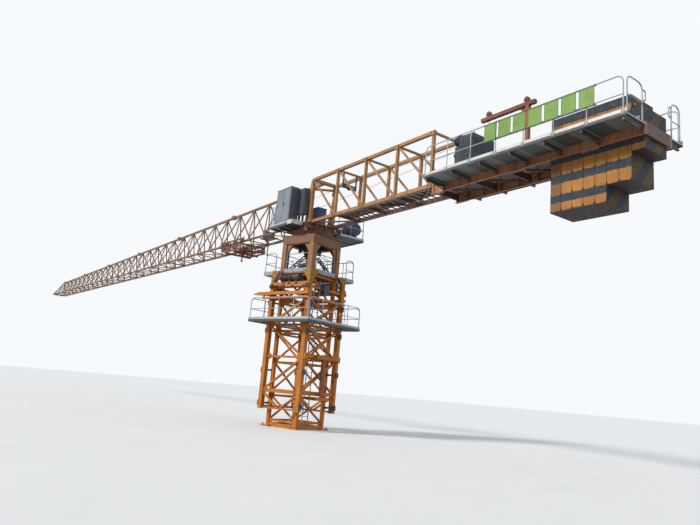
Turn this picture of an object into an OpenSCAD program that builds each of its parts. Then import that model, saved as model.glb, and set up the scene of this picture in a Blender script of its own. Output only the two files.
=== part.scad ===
// Flat-top tower crane on a low mast, with its climbing cage, as a half-size model.
// Millimetres. Origin at the mast's centre on the base plates, +X to the jib's tip, +Z up.

/* [Mast] */
// Width of the mast over its legs
mast_w = 1000; // [900:10:1060]
// Width of one square mast leg
mast_leg = 80; // [60:5:100]
// Width of the mast's bracing bars
mast_brace = 44; // [30:2:56]
// Height of the base section above the foundation plates
base_h = 800; // [700:10:900]
// Height of one mast section
section_h = 1480; // [1400:10:1560]
// Turn of the mast's faces from the line of the jib, in degrees
mast_turn = 15.4; // [0:0.1:20]
// Side of a foundation plate
foot_w = 260; // [220:10:320]
// Thickness of a foundation plate
foot_t = 30; // [20:2:40]
// Diameter of an anchor bolt hole
foot_hole_d = 26; // [18:1:32]
// Spacing of the four bolt holes in a foundation plate
foot_hole_pitch = 180; // [150:5:190]

/* [Climbing cage] */
// Width of the cage over its legs
cage_w = 1340; // [1330:10:1400]
// Width of one cage leg
cage_leg = 110; // [90:5:120]
// Height of the cage's lower end
cage_z0 = 420; // [380:10:460]
// Width of the cage's bracing bars
cage_brace = 50; // [36:2:60]
// Depth of the cage's low cross beam
cage_beam = 90; // [70:5:100]
// Diameter of the climbing cylinder's barrel
barrel_d = 110; // [100:2:120]
// Diameter of the climbing cylinder's rod
rod_d = 60; // [50:2:66]
// Stroke of the climbing cylinder
climb_stroke = 800; // [600:10:800]

/* [Platforms] */
// Half width of the platform round the cage
lower_half = 1000; // [920:5:1040]
// Height of the platform round the cage
lower_z = 2535; // [2480:5:2560]
// Height of the handrails
rail_h = 540; // [500:10:600]
// Radius of the handrails' bends
rail_bend = 90; // [60:5:120]
// Diameter of the handrail tube
rail_d = 20; // [14:1:26]
// Thickness of a platform's deck
deck_t = 24; // [16:2:30]
// Height of the toe boards
toe_h = 60; // [40:5:80]
// Thickness of the toe boards
toe_t = 8; // [5:1:12]

/* [Slewing support] */
// Width of one column of the slewing support
column_w = 140; // [120:5:150]
// Depth of the ring beam on the columns
ring_beam_h = 225; // [190:5:250]
// Height of the slewing support from the mast's top to the ring
support_h = 990; // [940:10:1010]
// Outer radius of the slewing ring
ring_r = 540; // [510:5:560]
// Height of the slewing ring
ring_h = 115; // [90:5:130]

/* [Tower head and counter-jib] */
// Height of the turntable between ring and chords
table_h = 175; // [160:5:200]
// Half distance between the chords' centre lines
chord_y = 345; // [330:5:360]
// Width of a counter-jib chord
chord_w = 80; // [60:5:90]
// Distance between top and bottom chord
truss_h = 1130; // [1050:10:1180]
// Length of one bay of the counter-jib truss
truss_bay = 1100; // [1060:10:1140]
// Number of truss bays
truss_bays = 4; // [3:1:4]
// Distance from the mast's centre back to the tower head's posts
head_back = 330; // [310:5:340]
// Width of the truss posts
post_w = 60; // [44:2:70]
// Width of the truss diagonals
truss_brace = 40; // [30:2:50]
// Length of the counter-jib from the mast's centre
counter_l = 9096; // [9050:2:9120]
// Depth of the deck girders
girder_h = 190; // [170:5:210]
// Width of the deck girders' flanges
girder_flange = 50; // [46:1:54]
// Distance from the centre line to a girder's outer edge
girder_y = 371; // [368:1:376]
// Distance from the centre line to the left walkway's outer edge
walk_y = 860; // [820:5:900]
// Distance from the centre line to the right walkway's outer edge
walk_far_y = 700; // [660:5:760]
// Height of the walkways' handrails
walk_rail_h = 580; // [540:10:620]
// Number of plates in the sign
sign_plates = 7; // [5:1:9]

/* [Counterweights] */
// Thickness of one counterweight slab
slab_t = 195; // [180:1:196]
// Half width of a slab
slab_y = 308; // [296:1:312]
// Height of a long slab's lower end
slab_long_z = 4015; // [3950:5:4100]
// Height of a middle slab's lower end
slab_middle_z = 4286; // [4250:2:4350]
// Height of the short slab's lower end
slab_short_z = 4712; // [4680:2:4750]
// Height of the long and middle slabs' top
slab_top_z = 5600; // [5500:5:5650]

/* [Jib] */
// Rise of the jib from the level, in degrees
jib_rise = 0.7; // [0:0.05:1]
// Distance from the mast's centre to the jib's root pins
jib_root_x = 210; // [200:5:230]
// Length of one bay of the jib
jib_bay = 950; // [930:1:955]
// Depth of the jib at its tip
jib_tip_h = 705; // [650:5:800]
// Length of the nose past the last bay
nose_l = 440; // [380:10:460]
// Width of a jib chord
jib_chord = 52; // [44:2:60]
// Width of the jib's side diagonals
jib_brace = 30; // [24:1:36]
// Width of the jib's floor bracing
jib_floor = 26; // [20:1:30]
// Width of the trolley rails on the bottom chords
rail_w = 24; // [18:1:30]

/* [Trolley and hook] */
// Distance from the mast's centre to the hook's line at rest
trolley_x = 4025; // [3900:5:4400]
// Length of the trolley's frame from the hook's line back to the mast
trolley_back = 825; // [760:5:860]
// Length of the trolley's frame from the hook's line out to the tip
trolley_front = 425; // [400:5:460]
// Depth of the trolley's frame under the bottom chords
trolley_low = 310; // [300:5:340]
// Radius of the trolley's running wheels
wheel_r = 46; // [40:1:50]
// Radius of the trolley's outer rope sheaves
guide_r = 50; // [44:1:54]
// Diameter of the hoist rope
rope_d = 10; // [8:1:12]
// Distance of the outer rope falls from the hook's centre line
fall_out = 185; // [182:1:196]
// Distance of the inner rope falls from the hook's centre line
fall_in = 45; // [42:1:48]

/* [Hidden] */

crane_yellow = [0.93, 0.60, 0.13];
crane_shade = [0.72, 0.42, 0.17];
galvanised = [0.72, 0.74, 0.75];
cabinet_grey = [0.45, 0.48, 0.51];
winch_blue = [0.17, 0.20, 0.25];
primer_red = [0.45, 0.22, 0.16];
sign_green = [0.42, 0.62, 0.22];
rope_steel = [0.30, 0.30, 0.30];

touch = 0.3;
round_sides = 8;

mast_top = base_h + 2*section_h;
mast_c = (mast_w - mast_leg)/2;
cage_c = (cage_w - cage_leg)/2;
cage_in = cage_w/2 - cage_leg;
cage_beam_z = base_h + 50;
cage_top = mast_top - 310;
support_top = mast_top + support_h;
race_r = ring_r - 72;
race_gap = 0.3;
table_z = support_top + ring_h;
chord_z = table_z + table_h + chord_w/2;
top_z = chord_z + truss_h;
truss_end = -head_back - truss_bay*truss_bays;
girder_x0 = truss_end - chord_w;
girder_top = chord_z;
deck_z = chord_z - 30;
walk_x0 = girder_x0 - 250;
walk_x1 = -counter_l;

section_bays = 5;
jib_sections = 6;
jib_bays = section_bays*jib_sections;
jib_l = jib_bays*jib_bay;
rail_z = -jib_chord/2;
rail_t = 8;
wheel_z = rail_z + rail_t + wheel_r + touch;
wheel_w = rail_w - 6;
frame_y = chord_y + jib_chord/2 + rail_w + 8;
guide_z = -jib_floor/2 - guide_r - 7;
guide_drop = -guide_z;
sheave_x = (fall_out + fall_in)/2;
sheave_r = (fall_out - fall_in)/2 - rope_d/2 - touch;
trolley_at = (trolley_x - jib_root_x + guide_z*sin(jib_rise))/cos(jib_rise);
guide_top = chord_z + trolley_at*sin(jib_rise) + guide_z*cos(jib_rise);
hook_z = guide_top - guide_r - sheave_r - 6;
slab_x0 = -counter_l + 1606;

// Bar of a square or many-sided section between two points
module bar(p, q, w, sides = 4) {
    v = q - p;
    l = norm(v);
    r = w/2/cos(180/sides);
    translate(p)
        rotate([0, acos(v[2]/l), atan2(v[1], v[0])])
            rotate([0, 0, 180/sides])
                cylinder(r = r, h = l, $fn = sides);
}

// Box between two opposite corners
module block(a, b) {
    lo = [min(a[0], b[0]), min(a[1], b[1]), min(a[2], b[2])];
    hi = [max(a[0], b[0]), max(a[1], b[1]), max(a[2], b[2])];
    translate(lo)
        cube(hi - lo);
}

// Pieces that stand with the mast, turned from the jib's line
module standing() {
    rotate([0, 0, mast_turn])
        children();
}

// Pieces in the jib's own frame, from the root pins along the bottom chords
module on_jib() {
    translate([jib_root_x, 0, chord_z])
        rotate([0, -jib_rise, 0])
            children();
}

// Unit vector from one point to another
function toward(a, b) = (b - a)/norm(b - a);

// Row of points with each inner corner cut into a bend of radius r
function bend(points, r) = concat([points[0]],
    [for (i = [1:len(points) - 2])
        let (a = toward(points[i], points[i - 1]), b = toward(points[i], points[i + 1]))
            for (q = [a*r, (a + b)*r*0.293, b*r]) points[i] + q],
    [points[len(points) - 1]]);

// Bars one after the other through a row of points
module run(points, w) {
    for (i = [0:len(points) - 2])
        bar(points[i], points[i + 1], w, round_sides);
}

// Handrail panel between two floor points: a hoop with bent corners, a middle rail and n posts
module handrail(p, q, n, h = rail_h) {
    up = [0, 0, h];
    run(bend([p, p + up, q + up, q], rail_bend), rail_d*0.95);
    bar(p + up/2, q + up/2, rail_d*0.8, round_sides);
    for (i = [1:1:n])
        bar(p + (q - p)*i/(n + 1), p + (q - p)*i/(n + 1) + up, rail_d*0.85, round_sides);
}

// The four faces of a square tower, one after the other
module four_faces() {
    for (a = [0:90:270])
        rotate([0, 0, a])
            children();
}

// Horizontal bar across one face of a square tower
module face_tie(c, z, w) {
    block([-c, c - w/2, z - w/2], [c, c + w/2, z + w/2]);
}

// Crossed diagonals on one face of a square tower
module face_cross(c, z0, z1, w) {
    bar([-c, c, z0], [c, c, z1], w - 3);
    bar([c, c, z0], [-c, c, z1], w - 7);
}

// Four upright legs of a square tower
module four_legs(c, z0, z1, w) {
    for (sx = [-1, 1], sy = [-1, 1])
        block([sx*c - w/2, sy*c - w/2, z0], [sx*c + w/2, sy*c + w/2, z1]);
}

// Foundation plates with bolt holes, the beams between them and one braced panel
module mast_base() {
    color(crane_yellow) standing() {
        difference() {
            union() {
                for (sx = [-1, 1], sy = [-1, 1])
                    translate([sx*mast_c - foot_w/2, sy*mast_c - foot_w/2, 0])
                        cube([foot_w, foot_w, foot_t]);
                four_legs(mast_c, 0, base_h, mast_leg);
            }
            for (sx = [-1, 1], sy = [-1, 1], hx = [-1, 1], hy = [-1, 1])
                translate([sx*mast_c + hx*foot_hole_pitch/2, sy*mast_c + hy*foot_hole_pitch/2, -1])
                    cylinder(d = foot_hole_d, h = foot_t + 2, $fn = 24);
        }
        four_faces()
            block([-mast_c, mast_c - mast_leg/2 + 6, 0], [mast_c, mast_c + mast_leg/2 - 6, 90]);
        block([-mast_c, -35, 0], [mast_c, 35, 84]);
        block([-31, -mast_c, 0], [31, mast_c, 78]);
        block([-130, -130, 0], [130, 130, foot_t]);
        four_faces() {
            face_tie(mast_c, 150, mast_brace);
            face_tie(mast_c, base_h - 60, mast_brace);
            bar([-mast_c, mast_c, 150], [mast_c, mast_c, base_h - 60], mast_brace - 5);
        }
    }
}

// One mast section with two panels on each face, their diagonals in a zigzag
module mast_section(z0) {
    z = [z0 + 40, z0 + section_h/2, z0 + section_h - 40];
    color(crane_yellow) standing() {
        four_legs(mast_c, z0, z0 + section_h, mast_leg);
        four_faces() {
            for (i = [0:2])
                face_tie(mast_c, z[i], mast_brace);
            bar([mast_c, mast_c, z[0]], [-mast_c, mast_c, z[1]], mast_brace - 5);
            bar([-mast_c, mast_c, z[1]], [mast_c, mast_c, z[2]], mast_brace - 5);
        }
    }
}

// Ladder inside the mast, on stand-offs from the rear ties
module mast_ladder() {
    ladder_x = -mast_c + 150;
    ladder_w = 200;
    color(galvanised) standing() {
        for (s = [-1, 1])
            bar([ladder_x, s*ladder_w/2, 60], [ladder_x, s*ladder_w/2, mast_top - 40], 20);
        for (z = [150:150:mast_top - 100])
            bar([ladder_x, -ladder_w/2, z], [ladder_x, ladder_w/2, z], 12, 6);
        for (z = [150, base_h + section_h/2, mast_top - 40], s = [-1, 1])
            block([-mast_c + mast_brace/2, s*ladder_w/2 - 10, z - 10],
                [ladder_x, s*ladder_w/2 + 10, z + 10]);
    }
}

cylinder_x = -(cage_w/2 + 75);
cross_h = 80;
cross_z = base_h - 60 - cross_h/2;
cross_y = 240;
barrel_z0 = cage_beam_z - 40;
rod_top = barrel_z0 + climb_stroke + 120;
rod_gap = 0.3;

// Crosshead held on the mast's rear tie by two arms, with the climbing rod standing on it
module climb_crosshead() {
    color(crane_yellow) standing() {
        block([cylinder_x - 70, -cross_y, cross_z], [cylinder_x + 60, cross_y, cross_z + cross_h]);
        for (s = [-1, 1])
            block([cylinder_x + 50, s*(cross_y - 76), cross_z + 4],
                [-mast_c - mast_brace/2, s*(cross_y - 4), cross_z + cross_h - 4]);
        translate([cylinder_x, 0, cross_z + cross_h - 1])
            cylinder(d = rod_d, h = rod_top - cross_z - cross_h + 1, $fn = 32);
    }
}

// Barrel over the rod, hung from a bracket on the cage's rear beam
module climb_cylinder() {
    barrel_z1 = rod_top + 60;
    color(primer_red) standing() {
        difference() {
            translate([cylinder_x, 0, barrel_z0])
                cylinder(d = barrel_d, h = barrel_z1 - barrel_z0, $fn = 32);
            translate([cylinder_x, 0, barrel_z0 - 1])
                cylinder(d = rod_d + 2*rod_gap, h = 62, $fn = 32);
            translate([cylinder_x, 0, barrel_z0 + 60])
                cylinder(d = rod_d + 20, h = rod_top + 20 - barrel_z0 - 60, $fn = 32);
        }
        difference() {
            block([cylinder_x - 70, -300, barrel_z1 - 120], [-cage_w/2, 300, barrel_z1 - 20]);
            translate([cylinder_x, 0, barrel_z0])
                cylinder(d = barrel_d - 10, h = barrel_z1 - barrel_z0 + 1, $fn = 32);
        }
        for (s = [-1, 1])
            block([cylinder_x + 20, s*(cage_c - 5) - 50, barrel_z1 - 140],
                [-cage_w/2, s*(cage_c - 5) + 50, barrel_z1]);
        for (s = [-1, 1])
            block([cylinder_x + 20, min(s*290, s*(cage_c - 50)), barrel_z1 - 110],
                [-cage_w/2, max(s*290, s*(cage_c - 50)), barrel_z1 - 30]);
    }
}

cage_levels = [cage_beam_z, 1675, lower_z - 80, cage_top - 330, cage_top - 60];

// Side of the cage: two legs, ties, one diagonal a panel and a V at the foot
module cage_side(s) {
    color(crane_yellow) standing() scale([1, s, 1]) {
        for (sx = [-1, 1])
            block([sx*cage_c - cage_leg/2, cage_in, cage_z0], [sx*cage_c + cage_leg/2, cage_w/2, cage_top]);
        block([-cage_c, cage_c - 35, cage_beam_z - cage_beam/2],
            [cage_c, cage_c + 35, cage_beam_z + cage_beam/2]);
        for (i = [1:len(cage_levels) - 1])
            face_tie(cage_c, cage_levels[i], cage_brace);
        for (i = [0:2])
            bar([(i%2 == 0 ? 1 : -1)*cage_c, cage_c, cage_levels[i]],
                [(i%2 == 0 ? -1 : 1)*cage_c, cage_c, cage_levels[i + 1]], cage_brace - 4);
        for (sx = [-1, 1])
            bar([sx*cage_c, cage_c, cage_beam_z - 30], [sx*20, cage_c, cage_z0 + 20], cage_brace - 6 - sx);
        block([-cage_c, cage_c - 20, cage_z0], [cage_c, cage_c + 20, cage_z0 + 40]);
        for (sx = [-1, 1])
            scale([sx, 1, 1])
                translate([cage_in + 4, cage_w/2 - 6, 0])
                    rotate([90, 0, 0])
                        linear_extrude(14)
                            polygon([[0, cage_top - 200], [0, cage_top], [-150, cage_top]]);
    }
}

// Rear of the cage: ties and crossed diagonals between the legs
module cage_rear() {
    color(crane_yellow) standing() intersection() {
        block([-cage_w/2, -cage_in, cage_z0], [-cage_in, cage_in, cage_top]);
        rotate([0, 0, 90]) {
            block([-cage_c, cage_c - 35, cage_beam_z - cage_beam/2],
                [cage_c, cage_c + 35, cage_beam_z + cage_beam/2]);
            for (i = [1:len(cage_levels) - 1])
                face_tie(cage_c, cage_levels[i], cage_brace);
            for (i = [0:len(cage_levels) - 3])
                face_cross(cage_c, cage_levels[i], cage_levels[i + 1], cage_brace);
        }
    }
}

// Open front of the cage: one tie low down and a frame at the top
module cage_front() {
    color(crane_yellow) standing() intersection() {
        block([cage_in, -cage_in, cage_z0], [cage_w/2, cage_in, cage_top]);
        rotate([0, 0, -90]) {
            face_tie(cage_c, cage_z0 + 40, cage_brace);
            for (i = [3, 4])
                face_tie(cage_c, cage_levels[i], cage_brace);
            face_cross(cage_c, cage_levels[3], cage_levels[4], cage_brace);
        }
    }
}

roller_r = 30;
roller_gap = 5;

// Guide rollers on the cage's legs with their adjusting blocks, and the pump unit at the rear
module cage_rollers() {
    levels = [cage_z0 + 120, cage_z0 + 915, lower_z - 235, cage_top - 450];
    color(winch_blue) standing() {
        for (sx = [-1, 1], sy = [-1, 1], z = levels)
            scale([sx, sy, 1]) {
                translate([mast_w/2 + roller_r + roller_gap, mast_c - 25, z])
                    rotate([-90, 0, 0])
                        cylinder(r = roller_r, h = 50, $fn = 24);
                for (y = [mast_c - 45, mast_c + 26])
                    block([mast_w/2 + 15, y, z - 20], [mast_w/2 + 60, y + 18, z + 20]);
                block([mast_w/2 + 50, mast_c - 45, z - 20], [cage_in + 12, cage_in, z + 20]);
                block([cage_w/2, cage_c - 50, z - 62], [cage_w/2 + 34, cage_c + 50, z + 62]);
            }
        block([-cage_c - cage_brace/2 - 110, 25, cage_top - 205],
            [-cage_c - cage_brace/2, 215, cage_top + 45]);
    }
}

// Platform round the cage with its handrail and toe boards
module lower_platform() {
    h = lower_half;
    inner = cage_w/2;
    color(galvanised) standing() {
        difference() {
            block([-h, -h, lower_z - deck_t], [h, h, lower_z]);
            block([-inner, -inner, lower_z - deck_t - 1], [inner, inner, lower_z + 1]);
        }
        difference() {
            block([-h, -h, lower_z - 50], [h, h, lower_z + toe_h]);
            block([-h + toe_t, -h + toe_t, lower_z - 51], [h - toe_t, h - toe_t, lower_z + toe_h + 1]);
        }
        e = h - toe_t - rail_d/2 + 2;
        corner = h - 34;
        four_faces()
            handrail([-corner, e, lower_z], [corner, e, lower_z], 3);
        four_faces()
            for (x = [-0.6, 0, 0.6])
                block([x*h - 20, inner, lower_z - 48], [x*h + 20, h - toe_t, lower_z - deck_t]);
    }
}

intro_z = cage_top - 220;
intro_x = 1000;
monorail_z = mast_top - 300;

// Rails that bring a new mast section in, and the two monorail beams with their end wheels
module introduction_rails() {
    color(crane_yellow) standing() {
        for (s = [-1, 1]) {
            y = s*(cage_w/2 + 35);
            block([-cage_w/2, y - 35, intro_z - 40], [intro_x, y + 35, intro_z + 40]);
            translate([intro_x, y + 35, 0])
                rotate([90, 0, 0])
                    linear_extrude(70)
                        polygon([[0, intro_z - 40], [0, intro_z + 40], [200, intro_z - 10],
                            [200, intro_z - 22]]);
            block([-cage_w/2, y - 25, intro_z - 140], [intro_x - 120, y + 25, intro_z - 90]);
            for (x = [cage_c, intro_x - 160])
                block([x - 20, y - 20, intro_z - 91], [x + 20, y + 20, intro_z - 39]);
        }
        block([intro_x - 140, -cage_w/2, intro_z - 30], [intro_x - 80, cage_w/2, intro_z + 30]);
        for (s = [-1, 1]) {
            y = s*(cage_w/2 + 25);
            block([-cage_w/2, y - 25, monorail_z - 42], [cage_w/2 - 40, y + 25, monorail_z + 42]);
            for (x = [-cage_w/2 + 30, cage_w/2 - 130])
                translate([x, s*(cage_w/2 + 62), monorail_z - 60])
                    rotate([0, 90, 0])
                        cylinder(d = 120, h = 60, $fn = 32);
        }
    }
}

// Slewing support: corner brackets to the cage, columns, ring beam with knee plates
module slewing_support() {
    c = mast_c;
    out = c + column_w/2;
    beam_z = support_top - ring_beam_h;
    color(crane_shade) standing() {
        difference() {
            block([-out, -out, mast_top], [out, out, mast_top + 90]);
            block([-out + 110, -out + 110, mast_top - 1], [out - 110, out - 110, mast_top + 91]);
        }
        four_legs(c, mast_top, support_top, column_w);
        difference() {
            block([-out, -out, beam_z], [out, out, support_top]);
            block([-c + column_w/2, -c + column_w/2, beam_z - 1],
                [c - column_w/2, c - column_w/2, support_top - 20]);
            translate([0, 0, support_top - 30])
                cylinder(r = 380, h = 40, $fn = 64);
        }
        four_faces()
            for (s = [-1, 1])
                translate([s*(c - column_w/2 + 1), c + 40, beam_z + 1])
                    rotate([90, 0, 0])
                        linear_extrude(16)
                            polygon([[0, 0], [-s*190, 0], [0, -270]]);
        for (sx = [-1, 1], sy = [-1, 1])
            scale([sx, sy, 1]) {
                block([cage_in, cage_in, cage_top], [cage_w/2, cage_w/2, mast_top + 60]);
                block([out - 20, mast_c - 40, mast_top + 10], [cage_in + 5, cage_w/2 - 10, mast_top + 54]);
                block([mast_c - 40, out - 20, mast_top + 10], [cage_w/2 - 10, cage_in + 5, mast_top + 54]);
                translate([cage_in + 4, cage_w/2 - 6, 0])
                    rotate([90, 0, 0])
                        linear_extrude(14)
                            polygon([[0, mast_top - 220], [0, mast_top + 40], [-150, mast_top + 40]]);
                translate([cage_w/2 - 20, cage_in + 4, 0])
                    rotate([90, 0, 90])
                        linear_extrude(14)
                            polygon([[0, mast_top - 220], [0, mast_top + 40], [-150, mast_top + 40]]);
            }
    }
}

// Two railed baskets beside the slewing support, and the floor plate inside it
module upper_platform() {
    z = mast_top + 90;
    out = mast_c + column_w/2;
    floor_z = mast_top + 20;
    color(galvanised) standing() {
        basket([[1100, 550], [1100, -550]], out, floor_z);
        rotate([0, 0, -90])
            basket([[1025, 450], [1025, -650]], out, floor_z);
        block([-430, -390, z], [430, 390, z + 20]);
        block([-390, -430, z], [390, 430, z + 20]);
    }
}

// Floor and handrail of a basket between its two outer corners, reaching in to x = inner
module basket(corners, inner, z) {
    x = corners[0][0];
    ya = corners[0][1];
    yb = corners[1][1];
    x0 = cage_w/2 + 10;
    e = toe_t + rail_d/2 - 2;
    block([inner, -mast_c + 46, z - deck_t], [x0 + 10, mast_c - 46, z]);
    block([x0, yb, z - deck_t], [x, ya, z]);
    for (y = [ya - e, yb + e])
        handrail([x0 + 20, y, z], [x - 34, y, z], 0);
    handrail([x - e, yb + 34, z], [x - e, ya - 34, z], 2);
    difference() {
        block([x0, yb, z - 40], [x, ya, z + toe_h]);
        block([x0 - 1, yb + toe_t, z - 41], [x - toe_t, ya - toe_t, z + toe_h + 1]);
    }
}

// Fixed inner race of the slewing ring
module ring_fixed() {
    color(winch_blue) difference() {
        translate([0, 0, support_top])
            cylinder(r = race_r, h = ring_h - 15, $fn = 96);
        translate([0, 0, support_top - 1])
            cylinder(r = race_r - 58, h = ring_h, $fn = 96);
    }
}

// Turning outer race of the slewing ring
module ring_turning() {
    color(winch_blue) difference() {
        translate([0, 0, support_top + 12])
            cylinder(r = ring_r, h = ring_h - 12, $fn = 96);
        translate([0, 0, support_top])
            cylinder(r = race_r + race_gap, h = ring_h + 1, $fn = 96);
    }
}

// Turntable: round base plate, box walls with slots, and a top frame under the chords
module turntable() {
    z1 = table_z + table_h;
    w = 500;
    color(crane_shade) {
        difference() {
            translate([0, 0, table_z])
                cylinder(r = ring_r, h = 20, $fn = 96);
            translate([0, 0, table_z - 1])
                cylinder(r = 200, h = 22, $fn = 48);
            for (a = [45, 165, 285])
                rotate([0, 0, a])
                    translate([300, 0, table_z - 1])
                        cylinder(d = 130, h = 22, $fn = 32);
        }
        difference() {
            block([-w, -w, table_z + 20], [w, w, z1]);
            block([-w + 24, -w + 24, table_z + 19], [w - 24, w - 24, z1 + 1]);
            for (a = [0, 90], i = [-1.5:1:1.5])
                rotate([0, 0, a])
                    translate([i*230 - 60, -w - 1, table_z + 95])
                        cube([120, 2*w + 2, 36]);
        }
        block([-w, -chord_y - 40, z1 - 30], [w, -chord_y + 40, z1]);
        block([-w, chord_y - 40, z1 - 30], [w, chord_y + 40, z1]);
    }
}

// Slewing motors hung from the turntable, the drive box in the head and the side motor
module slew_motors() {
    color(winch_blue) {
        for (a = [45, 165, 285])
            rotate([0, 0, a])
                translate([300, 0, 0]) {
                    translate([0, 0, table_z - 320])
                        cylinder(d = 124, h = 400, $fn = 32);
                    translate([0, 0, table_z + 20])
                        cylinder(d = 160, h = 30, $fn = 32);
                    translate([0, 0, table_z - 480])
                        cylinder(d = 100, h = 161, $fn = 32);
                }
        block([-head_back + 30, -110, chord_z - 25], [jib_root_x - 60, 110, chord_z - 5]);
        block([-head_back + 36, -150, chord_z - 5], [-60, 120, chord_z + 455]);
        for (x = [-290, -50])
            block([x, -1190, access_z], [x + 40, -1030, access_z + 130]);
        translate([-320, -1110, access_z + 260])
            rotate([0, 90, 0])
                cylinder(d = 320, h = 380, $fn = 40);
    }
}

// Tower head: portal of two flared posts over the turntable, with its chords
module tower_head() {
    x0 = -head_back;
    color(crane_yellow) {
        for (s = [-1, 1]) {
            block([x0 - 40, s*chord_y - chord_w/2, chord_z - chord_w/2],
                [jib_root_x, s*chord_y + chord_w/2, chord_z + chord_w/2]);
            block([x0 - 40, s*chord_y - 40, chord_z], [x0 + 40, s*chord_y + 40, top_z]);
            translate([x0, s*chord_y + 10, 0])
                rotate([90, 0, 0])
                    linear_extrude(20)
                        polygon([[0, chord_z], [260, chord_z], [60, top_z - 180], [0, top_z - 60]]);
        }
        block([x0 - 40, -chord_y, top_z - 40], [x0 + 40, chord_y, top_z + 40]);
        block([x0 - 30, -chord_y, chord_z - 30], [x0 + 30, chord_y, chord_z + 30]);
        bar([x0, chord_y, top_z - 250], [x0, -chord_y, top_z - 110], 52);
        for (s = [-1, 1])
            translate([x0, s*chord_y + 9, 0])
                rotate([90, 0, 0])
                    linear_extrude(18)
                        polygon([[0, top_z - 300], [60, top_z - 290], [150, top_z - 220],
                            [90, top_z + 34], [0, top_z + 34]]);
        block([jib_root_x - 60, -chord_y, chord_z - 25], [jib_root_x - 10, chord_y, chord_z + 25]);
    }
}

// Rope guide hung in the first bay of the truss: a roller and a sheave between two hangers
module sheave_frame() {
    x0 = -head_back - truss_bay;
    z1 = top_z - 22;
    z0 = top_z - 400;
    color(winch_blue) {
        for (y = [-200, 185])
            block([x0 - 20, y - 12, z0], [x0 + 20, y + 12, z1]);
        block([x0 - 15, -200, z0 + 80], [x0 + 15, 185, z0 + 110]);
        translate([x0, 185, z0 + 35])
            rotate([90, 0, 0])
                cylinder(d = 64, h = 385, $fn = 32);
        translate([x0, 20, z0 + 35])
            rotate([90, 0, 0])
                cylinder(d = 120, h = 40, $fn = 32);
    }
}

// Counter-jib truss: chords, posts, diagonals away from the mast and cross ties
module counter_truss() {
    x0 = -head_back - 40;
    color(crane_yellow) {
        for (s = [-1, 1]) {
            block([truss_end - 40, s*chord_y - chord_w/2, chord_z - chord_w/2],
                [x0, s*chord_y + chord_w/2, chord_z + chord_w/2]);
            block([truss_end - 40, s*chord_y - 35, top_z - 35], [x0, s*chord_y + 35, top_z + 35]);
            for (i = [1:truss_bays]) {
                x = -head_back - i*truss_bay;
                block([x - post_w/2, s*chord_y - post_w/2, chord_z],
                    [x + post_w/2, s*chord_y + post_w/2, top_z]);
                bar([i == 1 ? x0 - 30 : x + truss_bay, s*chord_y, i == 1 ? top_z - 55 : top_z],
                    [x, s*chord_y, chord_z], truss_brace);
            }
        }
        for (i = [1:truss_bays]) {
            x = -head_back - i*truss_bay;
            for (z = [chord_z, top_z])
                block([x - 22, -chord_y, z - 22], [x + 22, chord_y, z + 22]);
        }
        for (i = [0:truss_bays - 1]) {
            x = -head_back - i*truss_bay;
            s = i%2 == 0 ? 1 : -1;
            bar([i == 0 ? x0 - 30 : x, s*(chord_y - 20), chord_z],
                [x - truss_bay, -s*(chord_y - 20), chord_z], 34);
        }
    }
}

deck_beams = [for (i = [2:-1:0]) slab_x0 + 90 + 800*i];

// Pair of deck girders with end beam and cross beams
module counter_girders() {
    z1 = girder_top;
    z0 = girder_top - girder_h;
    x1 = -counter_l;
    end_w = 40;
    color(crane_shade) {
        for (s = [-1, 1])
            scale([1, s, 1]) {
                yc = girder_y - girder_flange/2;
                for (z = [z0, z1 - 14])
                    block([x1, girder_y - girder_flange, z], [girder_x0, girder_y, z + 14]);
                block([x1, yc - 6, z0], [girder_x0, yc + 6, z1]);
                block([girder_x0 - 30, girder_y - 70, z0], [girder_x0, girder_y + 10, chord_z + chord_w/2]);
                block([girder_x0 - 30, chord_y - 40, chord_z - 40],
                    [truss_end - 40, chord_y + 40, chord_z + 40]);
            }
        block([x1, -girder_y, z0], [x1 + end_w, girder_y, z1]);
        for (x = concat([girder_x0 - 15], deck_beams))
            block([x - 15, -girder_y + 20, z0 + 30], [x + 15, girder_y - 20, z1 - 20]);
    }
}

// Grating panels on the truss floor and between the girders
module deck_gratings() {
    y = girder_y - girder_flange;
    color(galvanised) {
        ends = concat([girder_x0 - 60], deck_beams);
        for (i = [0:2])
            block([ends[i + 1] + 20, -y, chord_z - 20], [ends[i] - (i == 0 ? -20 : 20), y, chord_z]);
        for (i = [1:truss_bays - 1]) {
            x = -head_back - i*truss_bay;
            block([x - truss_bay + 5, -170, chord_z + 22], [x - 5, 170, chord_z + 34]);
        }
    }
}

// Walkway on outriggers beside a girder, with its handrail and toe board
module walkway(s, outer, end_y) {
    z1 = deck_z;
    h = walk_rail_h;
    x_end = walk_x1;
    y = outer - toe_t - rail_d/2 + 2;
    xe = x_end + rail_d;
    n = 6;
    color(galvanised) scale([1, s, 1]) {
        block([x_end, girder_y, z1 - deck_t], [walk_x0, outer, z1]);
        block([x_end, outer - toe_t, z1 - 40], [walk_x0, outer, z1 + toe_h]);
        handrail([xe + 34, y, z1], [walk_x0 - rail_d, y, z1], n, h);
        handrail([xe, end_y, z1], [xe, y - 34, z1], 0, h);
        for (i = [0:n]) {
            x = x_end + 60 + i*(walk_x0 - x_end - 120)/n;
            block([x - 12, girder_y, z1 - 90], [x + 12, outer - 20, z1 - deck_t]);
        }
    }
}

// Walkway on the side the cabinets stand on
module walkway_left() {
    walkway(1, walk_y, 415);
}

// Walkway on the other side
module walkway_right() {
    walkway(-1, walk_far_y, 400);
}

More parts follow.
